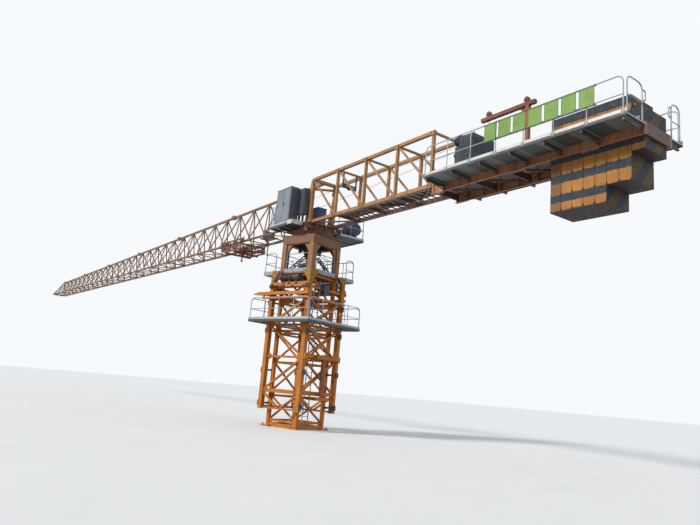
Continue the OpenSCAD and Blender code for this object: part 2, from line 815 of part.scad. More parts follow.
// Hoist winch: drum between two cheeks, motor, and its sheet housing
module hoist_winch() {
    z = girder_top;
    x = girder_x0 - 520;
    color(winch_blue) {
        block([x - 430, -320, z], [x, 320, z + 40]);
        difference() {
            block([x - 410, -300, z + 40], [x - 70, 300, z + 850]);
            block([x - 400, -290, z + 39], [x - 80, 290, z + 840]);
        }
        for (s = [-1, 1])
            block([x - 350, s*200 - 10, z + 40], [x - 130, s*200 + 10, z + 520]);
        translate([x - 240, 230, z + 320])
            rotate([90, 0, 0])
                cylinder(d = 260, h = 460, $fn = 48);
        block([x - 70, -220, z + 120], [x, 220, z + 640]);
    }
}

// Service davit: post on the deck, arm along the counter-jib and two hook lugs
module service_davit() {
    z = girder_top;
    x = slab_x0 + 730;
    arm_z = top_z + 55;
    color(primer_red) {
        block([x - 60, -60, z], [x + 60, 60, z + 16]);
        block([x - 35, -35, z], [x + 35, 35, arm_z]);
        block([x - 160, -38, arm_z - 35], [x + 1080, 38, arm_z + 35]);
        for (lug = [x + 30, x + 910]) {
            translate([lug, 25, arm_z + 90])
                rotate([90, 0, 0])
                    cylinder(d = 110, h = 50, $fn = 32);
            block([lug - 30, -25, arm_z], [lug + 30, 25, arm_z + 90]);
        }
    }
}

// Blank sign: plates between two rails, on the left walkway's handrail
module sign_panel() {
    y = walk_y - toe_t + 1.5 + touch;
    z0 = deck_z + 250;
    h = 325;
    x0 = walk_x1 + 461;
    l = 2120;
    pitch = l/sign_plates;
    color(sign_green) {
        for (z = [z0, z0 + h - 16])
            block([x0, y, z], [x0 + l, y + 16, z + 16]);
        for (i = [0:sign_plates - 1])
            block([x0 + (i + 0.09)*pitch, y + 3, z0 + 4], [x0 + (i + 0.91)*pitch, y + 13, z0 + h - 4]);
    }
}

// One counterweight slab with the shoulders that rest on the girders
module slab(i, z0, z1) {
    x = slab_x0 - i*slab_t;
    block([x - slab_t + 4, -slab_y, z0], [x, slab_y, z1]);
    block([x - slab_t + 40, -girder_y + 8, girder_top + touch], [x - 36, girder_y - 8, girder_top + 60]);
}

// Five long slabs, two middle ones and a short one
module counterweights() {
    color(crane_yellow) {
        for (i = [0:4])
            slab(i, slab_long_z, slab_top_z);
        for (i = [5, 6])
            slab(i, slab_middle_z, slab_top_z);
        slab(7, slab_short_z, slab_top_z - 250);
    }
}

plat_z = chord_z - chord_w/2 - 20;
access_z = plat_z - 60;

// Platform beside the turntable for the control cabinets
module cabinet_platform() {
    x0 = -60;
    x1 = 830;
    y0 = 500;
    y1 = 850;
    color(galvanised) {
        block([x0, y0, plat_z - deck_t], [x1, y1, plat_z]);
        difference() {
            block([x0, y0, plat_z - 60], [x1, y1, plat_z + 50]);
            block([x0 + toe_t, y0 - 1, plat_z - 61], [x1 - toe_t, y1 - toe_t, plat_z + 51]);
        }
        for (x = [100, 400])
            block([x, y0, plat_z - 110], [x + 30, y1 - 60, plat_z - deck_t]);
    }
}

// Main control cabinet, resistor cabinet on legs and a small side panel
module control_cabinets() {
    color(cabinet_grey) {
        block([-50, 560, plat_z + 60], [650, 820, plat_z + 950]);
        block([-30, 580, plat_z], [630, 800, plat_z + 60]);
        block([-275, 400, plat_z + 260], [-60, 550, plat_z + 930]);
        block([-60, 505, plat_z + 260], [120, 555, plat_z + 930]);
        for (x = [-50, 80])
            block([x, 508, plat_z], [x + 25, 533, plat_z + 261]);
        block([690, 600, plat_z], [730, 800, plat_z + 560]);
    }
}

// Access platform on the far side of the turntable, with its handrail
module access_platform() {
    x0 = -360;
    x1 = 800;
    y0 = -1380;
    y1 = -500;
    z = access_z;
    e = toe_t + rail_d/2 - 2;
    color(galvanised) {
        block([x0, y0, z - deck_t], [x1, y1, z]);
        difference() {
            block([x0, y0, z - 60], [x1, y1, z + 40]);
            block([x0 + toe_t, y0 + toe_t, z - 61], [x1 - toe_t, y1 + 1, z + 41]);
        }
        for (x = [x0 + e, x1 - e])
            handrail([x, y0 + 34, z], [x, y1 - 34, z], 1);
        handrail([x0 + 34, y0 + e, z], [x1 - 34, y0 + e, z], 2);
        for (x = [-200, 200])
            block([x, y0 + 60, z - 72], [x + 30, y1, z - deck_t]);
    }
}

// Depth of the jib at a distance along it
function jib_depth(x) = truss_h + (jib_tip_h - truss_h)*x/(jib_l + jib_bay);

// One jib section: three chords, zigzag sides, floor bracing and trolley rails
module jib_section(n) {
    x0 = (n - 1)*section_bays*jib_bay;
    x1 = n*section_bays*jib_bay;
    root = n == 1 ? 2*touch : 0;
    color(crane_yellow) on_jib() {
        for (s = [-1, 1]) {
            block([x0 + root, s*chord_y - jib_chord/2, -jib_chord/2],
                [x1, s*chord_y + jib_chord/2, jib_chord/2]);
            block([x0 + root, min(s*chord_y, s*(chord_y + jib_chord/2 + rail_w)), rail_z],
                [x1, max(s*chord_y, s*(chord_y + jib_chord/2 + rail_w)), rail_z + rail_t]);
        }
        jib_top_chord(x0, x1, n);
        for (i = [0:section_bays - 1], s = [-1, 1]) {
            xa = x0 + i*jib_bay;
            xm = xa + jib_bay/2;
            bar([xa + (i == 0 ? 30 : 0), s*(chord_y - 6), 10], [xm, 0, jib_depth(xm)], jib_brace);
            bar([xm, 0, jib_depth(xm)],
                [xa + jib_bay - (i == section_bays - 1 ? 30 : 0), s*(chord_y - 6), 10], jib_brace);
        }
        for (i = [0:section_bays - 1]) {
            xa = x0 + i*jib_bay;
            s = i%2 == 0 ? 1 : -1;
            block([xa + 24, -chord_y, -jib_floor/2], [xa + 24 + jib_floor, chord_y, jib_floor/2]);
            bar([xa + 40, s*(chord_y - 10), 0], [xa + jib_bay - 10, -s*(chord_y - 10), 0], jib_floor);
        }
        block([x1 - 24 - jib_floor, -chord_y, -jib_floor/2], [x1 - 24, chord_y, jib_floor/2]);
    }
}

// Top chord of one section, cut square to the bottom chords at its ends
module jib_top_chord(x0, x1, n) {
    w = jib_chord + 8;
    start = n == 1 ? -jib_root_x - head_back + 40 + truss_h*tan(jib_rise) + 3*touch : x0;
    intersection() {
        bar([start - 40, 0, jib_depth(start - 40)], [x1 + 40, 0, jib_depth(x1 + 40)], w);
        block([start, -w, 0], [x1, w, 2*truss_h]);
    }
}

// Last bay and nose of the jib, with the end stop and the rope anchor plates
module jib_tip() {
    xm = jib_l + jib_bay/2;
    x1 = jib_l + jib_bay;
    d = jib_depth(xm);
    color(crane_yellow) on_jib() {
        for (s = [-1, 1]) {
            block([jib_l, s*chord_y - jib_chord/2, -jib_chord/2],
                [x1 + nose_l, s*chord_y + jib_chord/2, jib_chord/2]);
            bar([jib_l + 30, s*(chord_y - 6), 10], [xm, 0, d], jib_brace);
            bar([xm, 0, d], [x1, s*(chord_y - 6), 10], jib_brace);
            bar([xm, 0, d], [x1 + nose_l - 30, s*(chord_y - 6), 10], jib_brace);
            block([x1 + nose_l - 60, s*120 - 10, -80], [x1 + nose_l - 10, s*120 + 10, 60]);
            block([jib_l, min(s*chord_y, s*(chord_y + jib_chord/2 + rail_w)), rail_z],
                [x1, max(s*chord_y, s*(chord_y + jib_chord/2 + rail_w)), rail_z + rail_t]);
        }
        jib_top_chord(jib_l, xm + 20, 7);
        bar([jib_l + 40, chord_y - 10, 0], [x1 - 10, -chord_y + 10, 0], jib_floor);
        block([jib_l + 24, -chord_y, -jib_floor/2], [jib_l + 24 + jib_floor, chord_y, jib_floor/2]);
        block([x1 - jib_floor, -chord_y, -jib_floor/2], [x1, chord_y, jib_floor/2]);
        block([x1 + nose_l - 50, -chord_y, -25], [x1 + nose_l, chord_y, 25]);
    }
}

// Trolley winch in the first jib section
module trolley_winch() {
    x = 2*jib_bay + 300;
    color(winch_blue) on_jib() {
        block([x - 260, -160, jib_floor/2], [x + 260, 160, jib_floor/2 + 24]);
        for (s = [-1, 1])
            block([x - 70, s*120 - 8, jib_floor/2 + 20], [x + 70, s*120 + 8, jib_floor/2 + 240]);
        translate([x, 130, jib_floor/2 + 150])
            rotate([90, 0, 0])
                cylinder(d = 130, h = 260, $fn = 32);
        block([x + 90, -70, jib_floor/2 + 20], [x + 250, 70, jib_floor/2 + 160]);
    }
}

// Trolley: two side frames with four wheels, cross beams, rope sheaves and a small basket
module trolley() {
    b = trolley_back;
    f = trolley_front;
    w = 28;
    back = b - 200;
    front = f - 200;
    color(primer_red) on_jib() translate([trolley_at, 0, 0]) {
        for (s = [-1, 1])
            scale([1, s, 1]) {
                block([-b, frame_y, 44], [f, frame_y + w, 90]);
                block([-back - 60, frame_y + 2, -trolley_low + 50],
                    [front + 60, frame_y + w - 2, -trolley_low + 96]);
                for (x = [-back, front])
                    block([x - 24, frame_y + 4, -trolley_low + 60], [x + 24, frame_y + w - 4, 80]);
                for (x = [-b + 90, f - 90])
                    translate([x, 0, wheel_z]) {
                        translate([0, frame_y + 1, 0])
                            rotate([90, 0, 0])
                                cylinder(r = wheel_r, h = wheel_w + 2, $fn = 32);
                        translate([0, frame_y + w + 8, 0])
                            rotate([90, 0, 0])
                                cylinder(r = 22, h = w + 28, $fn = 24);
                        block([-50, frame_y + 1, -50], [50, frame_y + w - 1, 60]);
                    }
                block([-back - 20, 62, -guide_drop - 34], [front + 20, 82, -guide_drop + 22]);
            }
        for (x = [-back, front])
            block([x - 22, -frame_y - 8, -guide_drop - 30], [x + 22, frame_y + 8, -guide_drop + 18]);
        for (x = [-fall_out - 60, fall_out + 40])
            block([x - 20, -frame_y - 8, -trolley_low], [x + 20, frame_y + 8, -trolley_low + 56]);
        for (i = [-1:1])
            translate([i*(fall_out - rope_d/2 - touch - guide_r), 0, guide_z]) {
                translate([0, 20, 0])
                    rotate([90, 0, 0])
                        cylinder(r = i == 0 ? fall_in - rope_d/2 - touch : guide_r, h = 40, $fn = 32);
                translate([0, 70, 0])
                    rotate([90, 0, 0])
                        cylinder(d = 24, h = 140, $fn = 24);
            }
        block([-b - 60, -frame_y + 60, -trolley_low + 80], [-back - 30, -100, -trolley_low + 96]);
        block([-back - 60, -frame_y - 6, -trolley_low + 56], [-back - 20, frame_y + 6, -trolley_low + 92]);
        for (s = [-1, 1]) {
            block([-b - 20, s*(frame_y + 4), -trolley_low + 40], [-b + 14, s*(frame_y + w - 4), 104]);
            translate([-b - 3, s*(frame_y + w/2), -trolley_low])
                cylinder(d = 50, h = 44, $fn = 24);
        }
    }
}

cheek_t = 14;

// Hook block: cheek plates, sheaves and the crosshead the hook turns in
module hook_block() {
    top = sheave_r - 2;
    color(primer_red) hook_frame() {
        for (s = [-1, 1])
            translate([0, s*40 + cheek_t/2, 0])
                rotate([90, 0, 0])
                    linear_extrude(cheek_t)
                        polygon([[-fall_out + 12, 30], [-fall_out + 12, -40], [-80, -100], [80, -100],
                            [fall_out - 12, -40], [fall_out - 12, 30], [fall_out - 70,
                                top], [-fall_out + 70, top]]);
        for (x = [-sheave_x, sheave_x])
            translate([x, 0, 0]) {
                translate([0, 20, 0])
                    rotate([90, 0, 0])
                        cylinder(r = sheave_r, h = 40, $fn = 40);
                translate([0, 54, 0])
                    rotate([90, 0, 0])
                        cylinder(d = 30, h = 108, $fn = 24);
            }
        difference() {
            block([-50, -44, swivel_z], [50, 44, -74]);
            translate([0, 0, swivel_z - 1])
                cylinder(d = swivel_d + 2*swivel_gap, h = 46, $fn = 32);
        }
    }
}

swivel_d = 40;
swivel_gap = 0.3;
swivel_z = -136;

// Hook that turns on its shank under the block
module lifting_hook() {
    r = 50;
    color(winch_blue) hook_frame() {
        translate([0, 0, swivel_z - 62])
            cylinder(d = swivel_d, h = 106 - swivel_gap, $fn = 32);
        translate([0, 0, swivel_z - 22])
            cylinder(d = 70, h = 22 - swivel_gap, $fn = 32);
        translate([0, 0, swivel_z - 66 - r])
            rotate([90, -180, 0])
                rotate_extrude(angle = 270, $fn = 48)
                    translate([r, 0])
                        circle(d = 30, $fn = 16);
    }
}

// Place of the hook block's middle, straight under the trolley
module hook_frame() {
    translate([trolley_x, 0, hook_z])
        children();
}

// Four falls of the hoist rope from the trolley to the hook block
module hoist_ropes() {
    color(rope_steel) hook_frame()
        for (x = [-fall_out, -fall_in, fall_in, fall_out])
            translate([x, 0, 0])
                cylinder(d = rope_d, h = guide_top - hook_z, $fn = 12);
}

mast_base();
mast_section(base_h);  // mast_section_1
mast_section(base_h + section_h);  // mast_section_2
mast_ladder();
climb_crosshead();
cage_side(1);  // cage_side_left
cage_side(-1);  // cage_side_right
cage_rear();
cage_front();
cage_rollers();
climb_cylinder();
lower_platform();
introduction_rails();
slewing_support();
upper_platform();
ring_fixed();
ring_turning();
turntable();
slew_motors();
tower_head();
sheave_frame();
counter_truss();
counter_girders();
deck_gratings();
walkway_left();
walkway_right();
hoist_winch();
service_davit();
sign_panel();
counterweights();
cabinet_platform();
control_cabinets();
access_platform();
jib_section(1);  // jib_section_1
jib_section(2);  // jib_section_2
jib_section(3);  // jib_section_3
jib_section(4);  // jib_section_4
jib_section(5);  // jib_section_5
jib_section(6);  // jib_section_6
jib_tip();
trolley_winch();
trolley();
hook_block();
lifting_hook();
hoist_ropes();
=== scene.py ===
import random
from functools import partialmethod
from itertools import product
from math import cos, pi, radians, sin

import bpy
from mathutils import Matrix, Vector


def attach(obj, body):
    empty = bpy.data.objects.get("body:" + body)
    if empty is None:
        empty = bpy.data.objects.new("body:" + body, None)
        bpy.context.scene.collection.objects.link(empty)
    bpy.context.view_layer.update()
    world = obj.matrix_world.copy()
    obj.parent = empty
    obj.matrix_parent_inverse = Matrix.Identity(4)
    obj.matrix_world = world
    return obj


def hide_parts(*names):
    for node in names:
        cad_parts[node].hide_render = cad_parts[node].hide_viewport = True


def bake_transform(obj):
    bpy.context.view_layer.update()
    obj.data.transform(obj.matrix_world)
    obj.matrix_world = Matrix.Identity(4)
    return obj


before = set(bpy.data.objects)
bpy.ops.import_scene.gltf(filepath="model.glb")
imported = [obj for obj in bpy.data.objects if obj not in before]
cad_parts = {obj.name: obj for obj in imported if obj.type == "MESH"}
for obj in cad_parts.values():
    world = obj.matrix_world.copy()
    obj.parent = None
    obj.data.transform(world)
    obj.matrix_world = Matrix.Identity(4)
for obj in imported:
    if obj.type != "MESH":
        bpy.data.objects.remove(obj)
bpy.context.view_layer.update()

# Measures that repeat part.scad, in metres
MAST_TURN = radians(15.4)
MAST_C, MAST_LEG = .46, .08
BASE_H, SECTION_H = .8, 1.48
SECTION_JOINTS = (BASE_H, BASE_H + SECTION_H)
CAGE_W, CAGE_LEG, CAGE_FOOT = 1.34, .11, .42
CAGE_C = (CAGE_W - CAGE_LEG) / 2
CAGE_TOP = BASE_H + 2 * SECTION_H - .31
CHORD_Z, CHORD_Y, CHORD_W = 5.08, .345, .08
TRUSS_H = 1.13
TOP_Z = CHORD_Z + TRUSS_H
HEAD_BACK, TRUSS_BAY, TRUSS_BAYS = .33, 1.1, 4
TRUSS_END = -HEAD_BACK - TRUSS_BAY * TRUSS_BAYS
GIRDER_X0 = TRUSS_END - CHORD_W
COUNTER_L = 9.096
DECK_Z = CHORD_Z - .03
WALK_X0 = GIRDER_X0 - .25
WALK_Y, WALK_FAR_Y = .86, .7
SLAB_X0, SLAB_T, SLAB_TOP = -COUNTER_L + 1.606, .195, 5.6
PLAT_Z = CHORD_Z - .06
ACCESS_Z = PLAT_Z - .06
JIB_ROOT_X, JIB_RISE, JIB_BAY, JIB_BAYS = .21, radians(.7), .95, 30
JIB_TIP_H = .705
JIB_L = JIB_BAYS * JIB_BAY
JIB_JOINTS = [n * 5 * JIB_BAY for n in range(1, 7)]
JIB_GUIDES = [x - .037 for x in JIB_JOINTS]
TIP_X = JIB_L + JIB_BAY
SUPPORT_TOP, RING_R, RING_H = 4.75, .54, .115
LOWER_Z, LOWER_HALF = 2.535, 1.0
CYLINDER_X = -.745
TROLLEY_X, HOOK_X, HOOK_Z = 3.812, 4.025, 4.9359

STANDING = Matrix.Rotation(MAST_TURN, 4, "Z")
QUARTERS = [Matrix.Rotation(k * pi / 2, 4, "Z") for k in range(4)]
SIGNS = (-1, 1)
CORNERS = tuple(product(SIGNS, SIGNS))
X, Y, Z = (1, 0, 0), (0, 1, 0), (0, 0, 1)


def pm(value):
    return -value, value


def at(x=0, y=0, z=0):
    return Matrix.Translation((x, y, z))


def circle(count, offset=0):
    """Cosine and sine of evenly spread angles."""
    for k in range(count):
        a = 2 * pi * (k + offset) / count
        yield cos(a), sin(a)


def jib_depth(x):
    return TRUSS_H + (JIB_TIP_H - TRUSS_H) * x / TIP_X


ON_JIB = at(JIB_ROOT_X, 0, CHORD_Z) @ Matrix.Rotation(-JIB_RISE, 4, "Y")


# ---- materials

def lin(r, g, b):
    """sRGB 0-255 to the linear colour that Blender's sockets take."""
    def one(c):
        c /= 255
        return c / 12.92 if c <= .04045 else ((c + .055) / 1.055) ** 2.4
    return (one(r), one(g), one(b), 1.0)


def shift(colour, by):
    return tuple(c + by for c in colour)


class Nodes:
    """Short calls for building a node tree. A colour of three numbers is sRGB 0-255, one of four is linear."""

    def __init__(self, name=None, tree=None):
        self.tree = tree
        if tree is None:
            self.mat = bpy.data.materials.new(name)
            self.mat.use_nodes = True
            self.tree = self.mat.node_tree
            self.shader = self.tree.nodes["Principled BSDF"]
            self.coord = self.new("TexCoord")

    def new(self, kind, **settings):
        node = self.tree.nodes.new("ShaderNode" + kind)
        for key, value in settings.items():
            setattr(node, key, value)
        return node

    def feed(self, socket, value):
        if isinstance(value, tuple) and len(value) == 3:
            value = lin(*value)
        if isinstance(value, (int, float, tuple)):
            socket.default_value = value
        else:
            self.tree.links.new(value, socket)

    def place(self, scale=(1, 1, 1), turn=(0, 0, 0)):
        node = self.new("Mapping")
        node.inputs["Scale"].default_value = scale
        node.inputs["Rotation"].default_value = turn
        self.feed(node.inputs["Vector"], self.coord.outputs["Object"])
        return node.outputs["Vector"]

    def noise(self, scale, detail=4.0, rough=.55, stretch=(1, 1, 1)):
        node = self.new("TexNoise")
        ways = {"Scale": scale, "Detail": detail, "Roughness": rough, "Vector": self.place(stretch)}
        for key, value in ways.items():
            self.feed(node.inputs[key], value)
        return node.outputs["Fac"]

    def math(self, kind, a, b=0.0):
        node = self.new("Math", operation=kind)
        self.feed(node.inputs[0], a)
        self.feed(node.inputs[1], b)
        return node.outputs[0]

    def ramp(self, value, low, high, a=0.0, b=1.0):
        node = self.new("MapRange", clamp=True)
        for socket, number in zip(node.inputs, (value, low, high, a, b)):
            self.feed(socket, number)
        return node.outputs[0]

    def mix(self, fac, a, b):
        node = self.new("Mix", data_type="RGBA")
        for index, value in ((0, fac), (6, a), (7, b)):
            self.feed(node.inputs[index], value)
        return node.outputs[2]

    def part(self, vector, index):
        node = self.new("SeparateXYZ")
        self.feed(node.inputs[0], vector)
        return node.outputs[index]

    def axis(self, index):
        return self.part(self.coord.outputs["Object"], index)

    def normal(self, index):
        return self.part(self.coord.outputs["Normal"], index)

    def turned(self, index):
        """A coordinate along the turned mast's own sides."""
        return self.part(self.place(turn=(0, 0, -MAST_TURN)), index)

    def faces(self, index):
        """Mask of what faces along an axis, either way."""
        return self.over(self.size(self.normal(index)), .7)

    def saw(self, index, per_metre):
        return self.math("FRACT", self.times(self.axis(index), per_metre))

    def underside(self, colour, dark, share=.75):
        """Darkens what faces down: painted shade on undersides."""
        return self.mix(self.ramp(self.normal(2), -.9, -.4, share, 0.0), colour, dark)

    def seen(self):
        """Mask of what the camera sees, straight or in a reflection."""
        ray = self.new("LightPath").outputs
        return self.most(self.most(ray["Is Camera Ray"], ray["Is Glossy Ray"]), ray["Is Transmission Ray"])

    def done(self, colour, rough, bump=None, strength=.3, distance=.002, metal=0.0):
        self.feed(self.shader.inputs["Base Color"], colour)
        self.feed(self.shader.inputs["Roughness"], rough)
        self.feed(self.shader.inputs["Metallic"], metal)
        if bump is not None:
            node = self.new("Bump")
            for key, value in (("Strength", strength), ("Distance", distance), ("Height", bump)):
                self.feed(node.inputs[key], value)
            self.feed(self.shader.inputs["Normal"], node.outputs[0])
        return self.mat

    def coat(self, colour, rough, spots):
        """Paint's roughness and bump, pitted where it rusts."""
        roughness = self.ramp(self.noise(27, 4), .3, .7, rough - .1, rough + .18)
        return self.done(colour, roughness, self.plus(self.times(spots, -.7), self.noise(85, 3)), .25, .0015)


# Nodes.plus(a, b), Nodes.over(a, b) and so on
for call, kind in {"plus": "ADD", "minus": "SUBTRACT", "times": "MULTIPLY", "most": "MAXIMUM",
                   "size": "ABSOLUTE", "over": "GREATER_THAN", "under": "LESS_THAN"}.items():
    setattr(Nodes, call, partialmethod(Nodes.math, kind))


def weather(n, base, shade, grime, rust, rust_at, streaks):
    """Paint with sun-faded patches, dirt that runs down it and small rust spots."""
    colour = n.mix(n.ramp(n.noise(2.3, 5), .35, .7), base, shade)
    colour = n.mix(n.ramp(n.noise(19, 6, .65), .3, .75, 0.0, .35), colour, shade)
    runs = n.ramp(n.noise(9, 5, .6, (1.6, 1.6, .14)), .5, .78, 0.0, streaks)
    spots = n.ramp(n.noise(34, 8, .7), rust_at, rust_at + .05)
    return n.mix(spots, n.mix(runs, colour, grime), rust), spots


def painted(name, base, shade, grime=(70, 45, 25), rust=(92, 44, 20), rough=.5, rust_at=.68, streaks=.45):
    n = Nodes(name)
    colour, spots = weather(n, base, shade, grime, rust, rust_at, streaks)
    # what faces down darkens towards a deeper copy of the shade tone: painted shade
    return n.coat(n.underside(colour, tuple(c * .55 for c in shade), .7), rough, spots)


def zoned(name, zones, rough=.5, rust_at=.7, streaks=.5, under=0.0):
    """One node with several paints: each zone is (mask of the node tree, base, shade)."""
    n = Nodes(name)
    colour = None
    for mask, base, shade in zones:
        paint, spots = weather(n, base, shade, (74, 56, 42), (94, 54, 30), rust_at, streaks)
        colour = paint if colour is None else n.mix(mask(n), colour, paint)
    # under sets how far what faces down darkens: painted shade
    if under:
        colour = n.underside(colour, (60, 44, 36), under)
    return n.coat(colour, rough, spots)


def galvanised(name, base, shade, dark, rough=.5, rust_at=.74):
    n = Nodes(name)
    spangle = n.new("TexVoronoi")
    spangle.inputs["Scale"].default_value = 60
    n.feed(spangle.inputs["Vector"], n.place())
    flakes = n.ramp(spangle.outputs["Distance"], 0.0, .7)
    runs = n.ramp(n.noise(7, 5, .6, (1.5, 1.5, .2)), .5, .8, 0.0, .5)
    colour = n.mix(runs, n.mix(flakes, base, shade), dark)
    spots = n.ramp(n.noise(30, 7, .7), rust_at, rust_at + .05)
    # rust spots, then what faces down darkened: painted shade
    colour = n.underside(n.mix(spots, colour, (112, 74, 48)), dark)
    return n.done(colour, n.ramp(flakes, 0, 1, rough - .1, rough + .12), n.noise(70, 3), .2, .001, .25)


def slab_paint():
    """Counterweights: level bands on the sides, faint slanting ones on the ends, over rough concrete."""
    n = Nodes("slab_paint")
    z = n.plus(n.axis(2), n.ramp(n.noise(14, 4), .2, .8, -.014, .014))
    joint = n.math("FRACT", n.math("DIVIDE", n.minus(n.axis(0), SLAB_X0 - 8 * SLAB_T), SLAB_T))
    near = n.size(n.minus(joint, .5))
    corner = n.ramp(near, .38, .5, 0.0, .05)
    band = None
    for i, edge in enumerate((4.035, 4.165, 4.295, 4.485, 4.62, 4.81, 5.355, 5.46)):
        starts = i % 2 == 0
        step = n.times(n.over(n.minus(z, corner) if starts else z, edge), 1.0 if starts else -1.0)
        band = step if band is None else n.plus(band, step)
    slant = n.plus(n.times(z, .9), n.axis(1))
    ends = n.over(n.math("FRACT", n.times(slant, 2.3)), .5)
    orange, _ = weather(n, (192, 134, 62), (166, 110, 50), (90, 72, 48), (112, 82, 46), .7, .6)
    olive, _ = weather(n, (112, 88, 48), (84, 66, 42), (58, 52, 44), (80, 66, 44), .7, .6)
    dark, _ = weather(n, (44, 54, 68), (34, 42, 54), (66, 62, 58), (78, 68, 56), .72, .4)
    colour = n.mix(n.faces(0), n.mix(band, dark, orange), n.mix(ends, dark, olive))
    first = n.over(n.axis(0), SLAB_X0 - SLAB_T)
    colour = n.mix(n.times(n.times(first, band), .6), colour, olive)
    colour = n.mix(n.ramp(near, .47, .495, 0.0, .9), colour, (34, 30, 30))
    # top and bottom faces dark brown: painted shade for the undersides
    colour = n.mix(n.faces(2), colour, (56, 44, 42))
    colour = n.mix(n.ramp(n.noise(48, 8, .75), .66, .7), colour, (112, 100, 86))
    return n.done(colour, n.ramp(n.noise(20, 4), .3, .7, .6, .85), n.noise(40, 8, .7), .5, .004)


# Masks of a node tree, for the zones of one node
def above(index, value):
    return lambda n: n.over(n.axis(index), value)


def below(index, value):
    return lambda n: n.under(n.axis(index), value)


def outside(index, value):
    return lambda n: n.over(n.size(n.axis(index)), value)


def below_width(value):
    return lambda n: n.under(n.size(n.axis(1)), value)


def outside_turned(value):
    return lambda n: n.over(n.most(n.size(n.turned(0)), n.size(n.turned(1))), value)


def beside_turned(value):
    return lambda n: n.over(n.size(n.turned(1)), value)


def near_axis(radius):
    """What lies within a radius of the climbing cylinder's axis."""
    def mask(n):
        dx, dy = n.minus(n.turned(0), CYLINDER_X), n.minus(n.turned(1), 0)
        return n.under(n.plus(n.times(dx, dx), n.times(dy, dy)), radius * radius)
    return mask


def joined(kind, masks):
    def mask(n):
        value = masks[0](n)
        for other in masks[1:]:
            value = n.math(kind, value, other(n))
        return value
    return mask


def both(*masks):
    return joined("MULTIPLY", masks)


def either(*masks):
    return joined("MAXIMUM", masks)


def walkway_metal(name, toe_light, rail, floor_painted_shade, toe_mask, deck):
    """Railed walkway: pale toe boards, zinc rails, a dark underside painted as shade, with lighter patches of
    painted light through the grating.
    """
    n = Nodes(name)
    tubes, _ = weather(n, rail, shift(rail, -26), (84, 84, 84), (112, 78, 56), .74, .3)
    fascia, spots = weather(n, toe_light, shift(toe_light, -20), (120, 116, 108), (120, 84, 60), .76, .4)
    low = n.under(n.axis(2), deck)
    out = toe_mask(n)
    # lower part of the toe boards dark: painted shade
    fascia = n.mix(n.times(n.under(n.axis(2), deck - .052), .92), fascia, shift(floor_painted_shade, -22))
    colour = n.mix(n.times(low, out), tubes, fascia)
    # everything below the walkway floor dark: painted shade
    colour = n.mix(n.times(n.under(n.axis(2), deck - .096), .9), colour, shift(floor_painted_shade, -10))
    bars, rods = n.over(n.saw(0, 24.0), .4), n.over(n.saw(1, 10.0), .15)
    floor = n.times(n.times(n.faces(2), low), n.minus(1.0, out))
    # the grating's bars and holes, over the floor's painted shade
    grid = n.mix(n.times(bars, rods), shift(floor_painted_shade, 34), shift(floor_painted_shade, -14))
    # lighter patches along the floor: painted light coming through the grating
    grid = n.mix(n.times(n.over(n.saw(0, 1.72), .52), .55), grid, shift(floor_painted_shade, 84))
    bump = n.plus(n.noise(70, 3), n.times(spots, -.5))
    return n.done(n.mix(floor, colour, grid), n.ramp(n.noise(23, 4), .3, .7, .4, .65), bump, .2, .001, .15)


def deck_metal(name, light, dark, gap):
    """Bar grating: bearing bars across the walkway and cross rods along it."""
    n = Nodes(name)
    hole = n.times(n.over(n.saw(0, 36.0), .42), n.over(n.saw(1, 9.0), .16))
    colour, _ = weather(n, light, dark, (70, 66, 62), (110, 72, 46), .74, .3)
    return n.done(n.mix(n.times(hole, n.faces(2)), colour, gap), .55, n.times(hole, -1.0), .5, .004, .2)


def seam_dark():
    n = Nodes("seam_dark")
    colour = n.mix(n.ramp(n.noise(14, 5), .35, .7), (40, 44, 50), (28, 30, 34))
    return n.done(colour, .6, n.noise(90, 3), .25, .001)


def rope_wire():
    """Wire rope: strands that wind round it, shown by slanting bands."""
    n = Nodes("rope_wire")
    slant = n.plus(n.axis(2), n.times(n.axis(0), 1.4))
    strand = n.math("SINE", n.times(slant, 520.0))
    return n.done(n.mix(n.ramp(strand, -1, 1), (48, 46, 46), (104, 100, 96)), .45, strand, .6, .001, .6)


# A paint's own colour and its shaded one; for walkways the toe boards, the rails and the floor, whose dark colour
# is painted shade
ORANGE = (206, 128, 32), (176, 102, 26)
TRUSS = (184, 138, 84), (150, 108, 64)
CABINET = (138, 146, 156), (116, 124, 136)
DOOR = (84, 92, 102), (66, 74, 84)
WALK = (216, 218, 218), (186, 190, 194), (62, 70, 70)
PLATFORM = (192, 198, 202), (184, 190, 194), (74, 84, 82)

